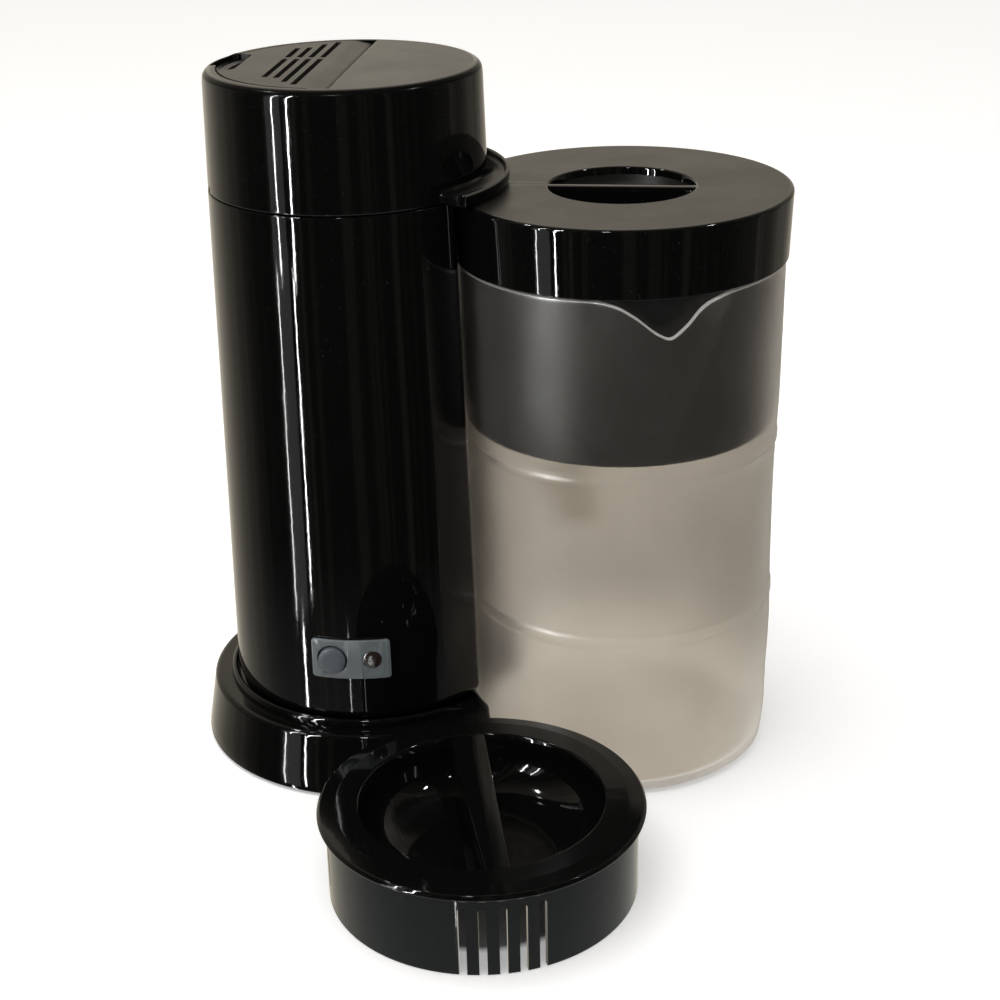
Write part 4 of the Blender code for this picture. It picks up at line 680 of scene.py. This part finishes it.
def satin_flap():
    half = math.acos(FLAP_CHORD / FLAP_RADIUS)
    outline = arc(0.0, 0.0, FLAP_RADIUS, half, 2 * math.pi - half, 200)
    piece = place("flap_satin", prism(outline, FLAP_LOW_Z, CAP_TOP_Z), BREWER_AXIS)
    far = HINGE_X - 13.5
    section = [(far, 312.6), (HINGE_X + 0.6, 310.05), (6.0, 310.05), (6.0, 314.0), (far, 314.0)]
    boolean(piece, prism_along_y(section, -56.0, 56.0), "DIFFERENCE", BREWER_AXIS)
    reach = math.sqrt(FLAP_RADIUS ** 2 - (HINGE_X + HINGE_RIB) ** 2)
    rib = prism_along_y(circle(HINGE_RIB, 40, HINGE_X, HINGE_Z, HINGE_SHIFT), -reach, reach)
    boolean(piece, rib, "UNION", BREWER_AXIS)
    bore = prism_along_y(circle(HINGE_BORE, 24, HINGE_X, HINGE_Z, HINGE_SHIFT), -58.0, 58.0)
    boolean(piece, bore, "DIFFERENCE", BREWER_AXIS)
    cuts = []
    for row, share in enumerate((0.89, 0.79, 0.64, 0.61)):
        x = -11.0 - 5.1 * row
        reach = SLOT_RADIUS * share
        for y0, y1 in ((1.5 - reach, 9.0), (12.0, 1.5 + reach)):
            slot = rounded_box(2.5, y1 - y0, 0.8, 4, x, (y0 + y1) / 2)
            cuts.append(prism(slot, 304.0, 316.0))
    cuts.append(prism(rounded_box(22.0, 35.0, 3.6, 6, -54.1, 2.0), 304.0, 316.0))
    boolean(piece, together(cuts), "DIFFERENCE", BREWER_AXIS)
    soften(piece, 0.28, 2, 50)
    finish_piece(piece, FLAP_MATTE, "flap", "satin_black", "reservoir_flap")


def plate_front_at(x):
    """How far out the plate's face is, straight ahead, at a sideways place."""
    return math.sqrt((body_radius(CONTROL_Z) + PLATE_FRONT) ** 2 - x ** 2)


def controls():
    """Plate, button and lamp; the plate is made flat and then bent onto the body's drafted wall."""
    flat = prism(rounded_box(34.8, 18.6, 1.5, 8, 0.7, 0.5), PLATE_BACK, PLATE_FRONT)
    piece = place("plate_satin", flat, Vector((0, 0, 0)))
    holes = []
    for x, r in ((BUTTON_X, BUTTON_HOLE), (LAMP_X, LAMP_HOLE)):
        holes.append(prism(circle(r, 72, x, KNOB_Z - CONTROL_Z), -4.0, 6.0))
    boolean(piece, together(holes), "DIFFERENCE", Vector((0, 0, 0)))
    soften(piece, 0.3, 2, 40)
    apply_modifiers(piece)
    bm = bmesh.new()
    bm.from_mesh(piece.data)
    bpy.data.objects.remove(piece, do_unlink=True)
    for k in range(-18, 19):
        bmesh.ops.bisect_plane(bm, geom=bm.verts[:] + bm.edges[:] + bm.faces[:],
                               plane_co=(k * MM + 0.00003, 0, 0), plane_no=(1, 0, 0))
    for v in bm.verts:
        x, z, d = (c / MM for c in v.co)
        height = CONTROL_Z + z
        r = body_radius(height) + d
        a = x / body_radius(CONTROL_Z)
        v.co = Vector((r * math.sin(a), -r * math.cos(a), height))
    piece = place("plate_satin", bm, BREWER_AXIS, CONTROL_TURN, sharp=30)
    finish_piece(piece, PLATE_GREY, "brewer", "plate_grey", "control_plate")

    front = plate_front_at(BUTTON_X)
    crown = front + 2.2
    section = rounded([(0.0, crown - 9.0, 0), (5.0, crown - 9.0, 0.3), (5.0, crown - 3.9, 0),
                       (6.1, crown - 3.9, 0.3), (6.1, crown - 0.35, 0.75), (4.0, crown + 0.12, 3.0),
                       (0.0, crown + 0.25, 0)], 6)
    bm = lathe(section, 96)
    bm.transform(Matrix.Translation((BUTTON_X, 0.0, KNOB_Z)) @ Matrix.Rotation(math.pi / 2, 4, "X"))
    piece = place("button_satin", bm, BREWER_AXIS, CONTROL_TURN)
    finish_piece(piece, BUTTON_GREY, "button", "button_grey", "power_button")

    front = plate_front_at(LAMP_X)
    seat = front - 2.9
    section = rounded([(0.0, seat - 0.8, 0), (4.7, seat - 0.8, 0), (4.7, seat, 0), (4.0, seat, 0),
                       (4.0, front + 0.1, 0.5), (2.4, front + 0.55, 1.6), (0.0, front + 0.6, 0)], 5)
    bm = lathe(section, 72)
    bm.transform(Matrix.Translation((LAMP_X, 0.0, KNOB_Z)) @ Matrix.Rotation(math.pi / 2, 4, "X"))
    piece = place("lens_amber", bm, BREWER_AXIS, CONTROL_TURN)
    finish_piece(piece, AMBER, "brewer", "amber", "lamp_lens")


# Pitcher group

WALL_TABLE = [(0, 65.9), (4, 66.7), (12, 67.8), (20, 68.0), (36, 68.0), (44, 68.5), (60, 68.9), (75, 68.6),
              (90, 68.3), (112, 68.2), (127, 68.2), (142, 68.4), (156, 69.1), (170, 69.6), (190, 69.8),
              (211, 70.0), (231, 70.2)]
RIM_TABLE = [(-35, 231.0), (-22, 230.9), (-16, 229.0), (-10, 224.4), (-5, 219.0), (0, 215.4), (6.6, 221.4),
             (10, 226.3), (14, 228.9), (21, 230.4), (35, 231.0)]
WALL_RIBS = ((76.5, 2.4, 0.45), (150.6, 1.7, 0.5))
PITCHER_WALL = 2.5
RIM_Z = 231.0
SPOUT = math.radians(-71)
SPOUT_HALF, SPOUT_DEPTH, SPOUT_REACH = math.radians(25), 72.0, 5.6
HANDLE = math.radians(109)
HANDLE_OUT, HANDLE_TOP, HANDLE_BEND = 106.2, 202.0, 18.0
BEARINGS = [SPOUT + math.pi * k / AROUND for k in range(AROUND * 2)]


def wall_radius(z):
    ridge = 0.0
    for level, half, proud in WALL_RIBS:
        ridge += proud * smooth(1 - max(abs(z - level) - half * 0.6, 0) / (half * 0.7))
    return softened(WALL_TABLE, z, 9.0) + ridge


def spout_push(a, z):
    """Outward press of the pouring lip, a keel that narrows down the wall."""
    down = (RIM_Z - z) / SPOUT_DEPTH
    if down >= 1:
        return 0.0
    width = SPOUT_HALF * (1 - down)
    across = abs(turn_between(a, SPOUT)) / max(width, 1e-6)
    if across >= 1:
        return 0.0
    keel = 1 - math.sqrt(across * across + 0.012) / math.sqrt(1.012)
    return SPOUT_REACH * max(keel, 0.0) * (1 - down) ** 0.9


def rim_height(a):
    return softened(RIM_TABLE, math.degrees(turn_between(a, SPOUT)), 3.4)


def plain_ring(r, z):
    return [Vector((r * math.cos(a), r * math.sin(a), z)) for a in BEARINGS]


def pitcher_ring(z, inset, lift=None, drop=0.0):
    """The wall at a height, or lifted by a share of the way to the rim."""
    ring = []
    for a in BEARINGS:
        height = z
        if lift is not None:
            height = mix(z, rim_height(a) - drop, lift)
        r = wall_radius(height) + spout_push(a, height) - inset
        ring.append(Vector((r * math.cos(a), r * math.sin(a), height)))
    return ring


def frosted_pitcher():
    rings = [[Vector((0.0, 0.0, 0.0))]]
    rings += [plain_ring(r, z) for r, z in ((30.0, 0.0), (58.6, 0.0), (59.4, 0.2), (61.0, 0.35), (62.6, 0.2),
                                            (63.4, 0.35), (65.0, 1.5))]
    levels = [3.0, 5.0, 8.0, 12.0, 18.0, 26.0, 34.0, 40.0, 46.0, 54.0, 62.0, 68.0, 72.5, 73.6, 74.4, 75.2,
              76.5, 77.8, 78.6, 79.4, 80.5, 86.0, 96.0, 110.0, 125.0, 138.0, 144.0, 148.2, 149.0, 149.6,
              150.6, 151.6, 152.2, 153.0, 156.0, 162.0, 168.0, 174.0, 180.0, 186.0, 192.0, 198.0, 204.0]
    rings += [pitcher_ring(z, 0.0) for z in levels]
    rings += [pitcher_ring(208.0, 0.0, t) for t in (0.0, 0.25, 0.5, 0.75, 0.9)]
    rings.append(pitcher_ring(208.0, 0.0, 1.0, 0.9))
    for k in range(1, 6):
        t = math.pi * k / 6
        rings.append(pitcher_ring(208.0, 1.15 * (1 - math.cos(t)), 1.0, 0.9 * (1 - math.sin(t))))
    rings.append(pitcher_ring(208.0, 2.3, 1.0, 0.9))
    rings += [pitcher_ring(208.0, 2.4, t) for t in (0.9, 0.75, 0.5, 0.25, 0.0)]
    rings += [pitcher_ring(z, PITCHER_WALL) for z in reversed(levels) if z > 9.0]
    rings += [plain_ring(r, z) for r, z in ((64.6, 7.0), (63.0, 4.6), (60.5, 3.3), (57.0, 3.0), (30.0, 3.0))]
    rings.append([Vector((0.0, 0.0, 3.0))])
    piece = place("pitcher_frosted", skinned(rings), PITCHER_AXIS)
    boolean(piece, turned_by(handle(), HANDLE), "UNION", PITCHER_AXIS)
    finish_piece(piece, FROSTED, "pitcher", "frosted", "pitcher")

    def on_rim(face):
        local = middle(face, PITCHER_AXIS)
        return local.z > 212.0 and local.z > rim_height(math.atan2(local.y, local.x)) - 1.0
    # Painted highlight: the rim's faces take the lighter, less clear copy of the frosted plastic.
    add_finish(piece, FROSTED_RIM_HIGHLIGHT, on_rim)


def handle():
    """A flat moulded strap bent into a loop, thicker at its roots, with a softly rounded section."""
    corners = [Vector((67.4, 0, 70.0)), Vector((HANDLE_OUT, 0, 79.0)), Vector((HANDLE_OUT, 0, HANDLE_TOP)),
               Vector((68.8, 0, HANDLE_TOP))]
    path = [corners[0]]
    for k in (1, 2):
        here = corners[k]
        back = (corners[k - 1] - here).normalized()
        ahead = (corners[k + 1] - here).normalized()
        leg = HANDLE_BEND / math.tan(back.angle(ahead) / 2)
        start, end = here + back * leg, here + ahead * leg
        if k == 1:
            path += [mix(path[0], start, t) for t in (0.12, 0.3, 0.6)]
        else:
            path += [mix(path[-1], start, t) for t in (0.25, 0.5, 0.75)]
        for s in range(13):
            t = s / 12
            path.append(start * (1 - t) ** 2 + here * (2 * t * (1 - t)) + end * t ** 2)
    path += [mix(path[-1], corners[3], t) for t in (0.4, 0.7, 0.88, 1.0)]
    rings = []
    for k, point in enumerate(path):
        ahead = (path[min(k + 1, len(path) - 1)] - path[max(k - 1, 0)]).normalized()
        across = Vector((0, 1, 0))
        out = ahead.cross(across)
        near = min((point - path[0]).length, (point - path[-1]).length)
        grow = 1 + 0.22 * smooth(1 - near / 9.0)
        section = rounded_box(7.4 * grow, 20.0 * min(grow, 1.12), 3.3, 7)
        rings.append([point + out * x + across * y for x, y in section])
    return skinned(rings, caps=True)


def satin_basket():
    section = rounded([(65.2, 158.0, 0), (66.3, 160.0, 0.6), (67.3, 228.0, 0.4), (67.3, 231.3, 0.2),
                       (68.3, 231.3, 0.2), (68.3, 233.3, 0.5), (65.0, 233.3, 0.6), (64.4, 162.0, 1.2),
                       (62.8, 160.0, 0.8)], 4)
    rings = [round_ring(r, z) for r, z in section]
    rings += [round_ring(30.0, 160.0), [Vector((0.0, 0.0, 160.0))]]
    under = [[Vector((0.0, 0.0, 158.0))], round_ring(30.0, 158.0), round_ring(62.0, 158.0)]
    piece = place("basket_satin", skinned(under + rings), PITCHER_AXIS)
    cuts = [prism(rounded_box(8.0, 8.0, 3.9, 8), 150.0, 170.0)]
    for k in range(8):
        slot = prism(rounded_box(24.0, 2.2, 1.0, 4, 24.0, 0.0), 150.0, 170.0)
        cuts.append(turned_by(slot, math.pi / 4 * k))
    boolean(piece, together(cuts), "DIFFERENCE", PITCHER_AXIS)
    finish_piece(piece, BASKET_BLACK, "pitcher", "satin_black", "brew_basket")


LID_TOP_Z, LID_DISH_RADIUS, LID_DISH_DEPTH = 260.5, 30.6, 11.8
SPARE_TOP_Z, SPARE_DISH_RADIUS, SPARE_DISH_DEPTH = 39.6, 49.4, 22.0
SKIRT_RADIUS, SKIRT_TOP_Z = 64.2, 35.9
STRAINER_HALF, STRAINER_TOP, STRAINER_PITCH, STRAINER_COUNT = 1.6, 29.4, 8.0, 5


def bowl(radius, depth, edge, top, steps=16):
    """Half section of a dish from its rounded edge down to its middle."""
    points = []
    for k in range(steps + 1):
        t = math.pi / 2 * k / steps
        r = radius * math.cos(t) ** 0.62 if k < steps else 0.0
        points.append((r, top - edge - (depth - edge) * math.sin(t)))
    return points


def bar_solid(radius, depth, top, edge, near_top, far_top, width_foot):
    """The finger bar: sides that flare to the foot, a rounded top edge, ends sunk into the dish."""
    rows = []
    floor_at = sorted(bowl(radius, depth, 0.0, top - edge, 48))
    for k in range(41):
        x = mix(-1.0, 1.0, k / 40)
        lowest = table(floor_at, min(abs(x) * (radius + 1.0), radius)) - 1.1
        width_top = mix(near_top, far_top, k / 40)
        section = []
        for z, w in ((lowest, width_foot), (mix(lowest, top, 0.35), mix(width_foot, width_top, 0.62)),
                     (mix(lowest, top, 0.7), mix(width_foot, width_top, 0.92)), (top - 0.7, width_top),
                     (top - 0.2, width_top - 0.45), (top, width_top - 1.3)):
            section.append((w / 2, z))
        full = section + [(-w, z) for w, z in reversed(section)]
        rows.append([Vector((x * (radius + 1.0), y, z)) for y, z in full])
    return skinned(rows, caps=True)


def gloss_lid():
    top = LID_TOP_Z
    outside = rounded([(70.4, 231.6, 0), (71.4, 231.6, 0.35), (72.55, top - 0.05, 1.5), (31.5, top, 1.1),
                       (LID_DISH_RADIUS, top - 3.2, 0)], 6)
    dish = [(r, z) for r, z in bowl(LID_DISH_RADIUS, LID_DISH_DEPTH, 0.0, top - 3.2) if r < 30.5]
    under = [(0.0, top - 17.3), (20.0, top - 17.0), (28.0, top - 14.0), (32.8, top - 6.0), (33.4, top - 2.2),
             (68.2, top - 2.2), (70.3, top - 4.2), (69.3, 232.0)]
    piece = place("lid_gloss", lathe(under + outside + dish), PITCHER_AXIS)
    bar = bar_solid(LID_DISH_RADIUS, LID_DISH_DEPTH, top - 0.5, 2.7, 4.5, 4.5, 5.6)
    boolean(piece, bar, "UNION", PITCHER_AXIS)
    boolean(piece, prism(circle(3.6, 40, NOZZLE_X - DOCK), 250.0, 264.0), "DIFFERENCE", PITCHER_AXIS)
    finish_piece(piece, GLOSS_LID, "brew_lid", "gloss_black", "basket_lid")

    def on_top(face):
        local = middle(face, PITCHER_AXIS)
        return local.z > top - 0.03 and face.normal.z > 0.9 and math.hypot(local.x, local.y) > 31.0

    # Painted shade: the dish beside the bar takes the darker, duller copy of the lid's satin top.
    def in_dish(face):
        local = middle(face, PITCHER_AXIS)
        beside_bar = math.hypot(local.x, local.y) < LID_DISH_RADIUS and abs(local.y) > 2.9
        return beside_bar and local.z > top - 16.0 and face.normal.z > 0.05
    add_finish(piece, LID_MATTE, on_top)
    add_finish(piece, DISH_PAINTED_SHADE, in_dish)


def gloss_spare_lid():
    top = SPARE_TOP_Z
    outside = rounded([(63.0, 0.0, 0), (SKIRT_RADIUS, 0.0, 0.35), (SKIRT_RADIUS, SKIRT_TOP_Z, 0.4),
                       (66.9, SKIRT_TOP_Z, 0.3), (67.6, 36.8, 0.7), (66.4, 38.3, 0.8), (60.0, 39.35, 3.0),
                       (50.6, top, 1.0), (SPARE_DISH_RADIUS, 36.6, 0)], 6)
    dish = [(r, z) for r, z in bowl(SPARE_DISH_RADIUS, SPARE_DISH_DEPTH, 0.0, top - 3.0, 22) if r < 49.2]
    under = [(0.0, top - 27.2), (36.0, top - 26.4), (46.5, top - 20.0), (51.2, top - 8.0),
             (52.4, SKIRT_TOP_Z - 1.2), (60.5, SKIRT_TOP_Z - 1.0), (62.0, 33.0), (62.0, 0.3)]
    piece = place("spare_lid_gloss", lathe(under + outside + dish), SPARE_AXIS, SPARE_TURN)
    bar = bar_solid(SPARE_DISH_RADIUS, SPARE_DISH_DEPTH, top - 0.3, 2.7, 10.0, 15.2, 16.5)
    boolean(piece, turned_by(bar, math.pi / 2), "UNION", SPARE_AXIS, SPARE_TURN)
    w = STRAINER_HALF
    outline = [(-w, -3.0)]
    for s in range(9):
        t = math.pi * s / 8
        outline.append((-w * math.cos(t), STRAINER_TOP + w * math.sin(t)))
    outline.append((w, -3.0))
    cuts = []
    for k in range(STRAINER_COUNT):
        slot = prism_along_y(outline, -67.5, -60.0)
        cuts.append(turned_by(slot, (k - 2) * STRAINER_PITCH / SKIRT_RADIUS))
    for side in (-1, 1):
        slit = prism([(-0.7, -67), (0.7, -67), (0.7, -60), (-0.7, -60)], 9.0, 27.0)
        cuts.append(turned_by(slit, side * math.radians(83)))
    boolean(piece, together(cuts), "DIFFERENCE", SPARE_AXIS, SPARE_TURN)
    finish_piece(piece, GLOSS_LID, "spare_lid", "gloss_black", "storage_lid")


gloss_base()
gloss_body()
gloss_cap()
satin_flap()
controls()
frosted_pitcher()
satin_basket()
gloss_lid()
gloss_spare_lid()

CARRIED = {
    "reservoir_tank": TANK_BLACK, "hinge_pin": STEEL, "bottom_cover": MOULDED, "cord_gland": RUBBER,
    "cover_screw_1": STEEL, "cover_screw_2": STEEL, "cover_screw_3": STEEL, "heater_bracket": STEEL,
    "thermostat": STEEL, "heater_block": ALUMINIUM, "supply_hose": SILICONE, "riser_hose": SILICONE,
    "foot_left_front": RUBBER, "foot_left_rear": RUBBER,
    "foot_right_front": RUBBER, "foot_right_rear": RUBBER,
    "lamp_holder": MOULDED, "switch_body": MOULDED, "nozzle_tube": MOULDED, "check_valve": MOULDED,
    "terminal_block": MOULDED, "thermal_fuse": MOULDED,
}
for name, material in CARRIED.items():
    carried = frame["nodes"][name]
    for slot_index in range(len(carried.material_slots)):
        carried.material_slots[slot_index].material = material


# Floor, light and camera

FLOOR_Z = -0.0002
STRIP_DISTANCE, GLINT_DISTANCE = 1.5, 1.6
CAMERA_LENS, CAMERA_PITCH, CAMERA_ROLL = 68.08, 0.413, -0.023
CAMERA_RIGHT = Vector((0.99145, 0.13053, 0.0))
CAMERA_PLACE = BREWER_AXIS + Vector((0.1662, -0.7870, 0.4606))


def floor():
    """A pale sheet that glows a little for the camera, except under the storage lid, where the glow is left
    out as painted shade; through the frosted wall it glows more near the pitcher, a painted pool of light.
    """
    bm = bmesh.new()
    half = 6.0
    square = ((-half, -half), (half, -half), (half, half), (-half, half))
    bm.faces.new([bm.verts.new((x, y, FLOOR_Z)) for x, y in square])
    mesh = bpy.data.meshes.new("floor")
    bm.to_mesh(mesh)
    bm.free()
    piece = bpy.data.objects.new("floor", mesh)
    bpy.context.scene.collection.objects.link(piece)
    material, tree, shader = shader_tree("pale_floor")
    shader.inputs["Base Color"].default_value = (0.90, 0.895, 0.885, 1.0)
    shader.inputs["Roughness"].default_value = 0.6
    shader.inputs["Emission Color"].default_value = (1.0, 1.0, 1.0, 1.0)
    path = node(tree, "ShaderNodeLightPath")
    here = node(tree, "ShaderNodeTexCoord").outputs["Object"]
    # Painted shade: no glow on the floor under the storage lid.
    gap = node(tree, "ShaderNodeVectorMath", {0: here, 1: SPARE_AXIS}, operation="DISTANCE").outputs["Value"]
    outside = span(tree, gap, 0.046, 0.050, 0.0, 1.0)
    seen = maths(tree, "MULTIPLY", path.outputs["Is Camera Ray"], outside)
    glow = span(tree, seen, 0.0, 1.0, 0.0, 0.34)
    # Painted light: the floor glows brighter near the pitcher for rays seen through its frosted wall.
    near = node(tree, "ShaderNodeVectorMath", {0: here, 1: PITCHER_AXIS},
                operation="DISTANCE").outputs["Value"]
    painted_glow_near_pitcher = span(tree, near, 0.066, 0.150, 1.1, 0.12)
    through = maths(tree, "MULTIPLY", path.outputs["Is Transmission Ray"], painted_glow_near_pitcher)
    tree.links.new(maths(tree, "ADD", glow, through), shader.inputs["Emission Strength"])
    mesh.materials.append(material)
    piece.visible_glossy = False
    return piece


def strip_light(name, bearing, width, low, high, power):
    """A tall narrow soft light that stands on a bearing from the brewer and faces it."""
    data = bpy.data.lights.new(name, "AREA")
    data.shape = "RECTANGLE"
    data.size = width
    data.size_y = high - low
    data.energy = power
    lamp = bpy.data.objects.new(name, data)
    bpy.context.scene.collection.objects.link(lamp)
    a = math.radians(bearing)
    place_on = Vector((STRIP_DISTANCE * math.cos(a), STRIP_DISTANCE * math.sin(a), (low + high) / 2))
    lamp.location = BREWER_AXIS + place_on
    aim = Vector((-math.cos(a), -math.sin(a), 0.0))
    lamp.rotation_euler = aim.to_track_quat("-Z", "Y").to_euler()
    lamp.visible_camera = False
    lamp.visible_diffuse = False
    lamp.visible_transmission = False
    return lamp


def glint_light(name, bearing, height):
    """A small ceiling light that only glints on edges."""
    data = bpy.data.lights.new(name, "AREA")
    data.shape = "RECTANGLE"
    data.size = 0.10
    data.size_y = 0.05
    data.energy = 3.2
    lamp = bpy.data.objects.new(name, data)
    bpy.context.scene.collection.objects.link(lamp)
    a, e = math.radians(bearing), math.radians(height)
    towards = Vector((math.cos(a) * math.cos(e), math.sin(a) * math.cos(e), math.sin(e)))
    lamp.location = towards * GLINT_DISTANCE
    lamp.rotation_euler = (-lamp.location).to_track_quat("-Z", "Y").to_euler()
    lamp.visible_camera = False
    lamp.visible_diffuse = False
    lamp.visible_transmission = False


def top_light():
    data = bpy.data.lights.new("soft_top", "AREA")
    data.shape = "RECTANGLE"
    data.size = 1.6
    data.size_y = 1.2
    data.energy = 16.0
    lamp = bpy.data.objects.new("soft_top", data)
    bpy.context.scene.collection.objects.link(lamp)
    lamp.location = (-0.35, -0.25, 1.7)
    lamp.rotation_euler = (Vector((0, 0, 0.15)) - lamp.location).to_track_quat("-Z", "Y").to_euler()
    lamp.visible_camera = False
    lamp.visible_glossy = False
    lamp.visible_transmission = False


def world():
    """Pale all round; what gloss reflects is dark towards the front, as a room behind the viewer is."""
    made = bpy.data.worlds.new("studio")
    bpy.context.scene.world = made
    made.use_nodes = True
    tree = made.node_tree
    tree.nodes.clear()
    out = tree.nodes.new("ShaderNodeOutputWorld")
    direction = node(tree, "ShaderNodeTexCoord").outputs["Generated"]
    parts = node(tree, "ShaderNodeSeparateXYZ", {"Vector": direction})
    back = span(tree, parts.outputs["Y"], -0.25, 0.75, 0.0, 1.0)
    level = node(tree, "ShaderNodeCombineXYZ", {"X": parts.outputs["X"], "Y": parts.outputs["Y"]})
    bearing = node(tree, "ShaderNodeVectorMath", {0: level.outputs[0]}, operation="NORMALIZE")
    bands = node(tree, "ShaderNodeTexNoise", {"Vector": bearing.outputs[0], "Scale": 7.5, "Detail": 5.0,
                                              "Roughness": 0.62})
    room = span(tree, bands.outputs["Fac"], 0.50, 0.68, 0.0, 1.0)
    front = tint(tree, room, (0.02, 0.022, 0.02), (0.26, 0.25, 0.21))
    low = span(tree, parts.outputs["Z"], -0.62, -0.40, 1.0, 0.0)
    table_seen = node(tree, "ShaderNodeMix", {"Factor": low}, data_type="RGBA")
    tree.links.new(front, table_seen.inputs["A"])
    table_seen.inputs["B"].default_value = (0.72, 0.78, 0.76, 1.0)
    side = span(tree, parts.outputs["X"], -0.2, 0.6, 1.0, 0.26)
    back = maths(tree, "MULTIPLY", back, side)
    made_seen = node(tree, "ShaderNodeMix", {"Factor": back}, data_type="RGBA")
    tree.links.new(table_seen.outputs["Result"], made_seen.inputs["A"])
    made_seen.inputs["B"].default_value = (0.84, 0.77, 0.63, 1.0)
    seen = made_seen.outputs["Result"]
    path = node(tree, "ShaderNodeLightPath")
    glossy = node(tree, "ShaderNodeBackground", {"Color": seen, "Strength": 1.0})
    plain = node(tree, "ShaderNodeBackground", {"Color": (0.62, 0.61, 0.60, 1.0), "Strength": 1.0})
    ahead = span(tree, parts.outputs["Y"], -0.35, 0.15, 0.0, 1.0)
    lit = maths(tree, "MAXIMUM", ahead, path.outputs["Is Camera Ray"])
    white = node(tree, "ShaderNodeBackground", {"Color": tint(tree, lit, (0.12, 0.12, 0.12), (1.0, 1.0, 1.0)),
                                                "Strength": 1.0})
    first = node(tree, "ShaderNodeMixShader",
                 {0: path.outputs["Is Glossy Ray"], 1: plain.outputs[0], 2: glossy.outputs[0]})
    clear = maths(tree, "MAXIMUM", path.outputs["Is Camera Ray"], path.outputs["Is Transmission Ray"])
    second = node(tree, "ShaderNodeMixShader", {0: clear, 1: first.outputs[0], 2: white.outputs[0]})
    tree.links.new(second.outputs[0], out.inputs["Surface"])


def camera():
    data = bpy.data.cameras.new("camera")
    data.lens = CAMERA_LENS
    data.sensor_width = 36.0
    data.sensor_fit = "HORIZONTAL"
    data.clip_start, data.clip_end = 0.05, 30.0
    pitch, roll = CAMERA_PITCH, CAMERA_ROLL
    level = CAMERA_RIGHT.normalized()
    ahead = Vector((-level.y, level.x, 0.0))
    up = Vector((0, 0, 1))
    rise = ahead * math.sin(pitch) + up * math.cos(pitch)
    look = ahead * math.cos(pitch) - up * math.sin(pitch)
    right = level * math.cos(roll) + rise * math.sin(roll)
    above = rise * math.cos(roll) - level * math.sin(roll)
    made = bpy.data.objects.new("camera", data)
    bpy.context.scene.collection.objects.link(made)
    spin = Matrix((right, above, -look)).transposed().to_4x4()
    made.matrix_world = Matrix.Translation(CAMERA_PLACE) @ spin
    bpy.context.scene.camera = made


floor()
STRIPS = (
    ("strip_left_broad", -137.0, 0.330, -0.60, 1.50, 2.2),
    ("strip_left_thin", -137.3, 0.010, -0.145, 1.50, 12.0),
    ("strip_mid_high", -125.0, 0.016, -0.145, 1.50, 28.0),
    ("strip_left_mid", -141.5, 0.018, -0.60, -0.145, 1.5),
    ("strip_mid_low", -127.0, 0.014, -0.56, -0.145, 3.6),
    ("strip_left_low", -136.3, 0.020, -0.95, -0.62, 3.7),
    ("strip_front_low", -98.5, 0.007, -0.95, -0.62, 0.44))
for strip in STRIPS:
    strip_light(*strip)
glow = strip_light("pitcher_glow", -134.5, 0.20, -0.80, 0.30, 210.0)
glow_on = bpy.data.collections.new("pitcher_glow_on")
glow_on.objects.link(bpy.data.objects["pitcher_frosted"])
glow.light_linking.receiver_collection = glow_on
for glint in (("ceiling_front", -95.0, 60.0), ("ceiling_right", -2.0, 55.0), ("ceiling_left", 178.0, 60.0)):
    glint_light(*glint)
top_light()
world()
camera()
bpy.context.scene.view_settings.view_transform = "Standard"
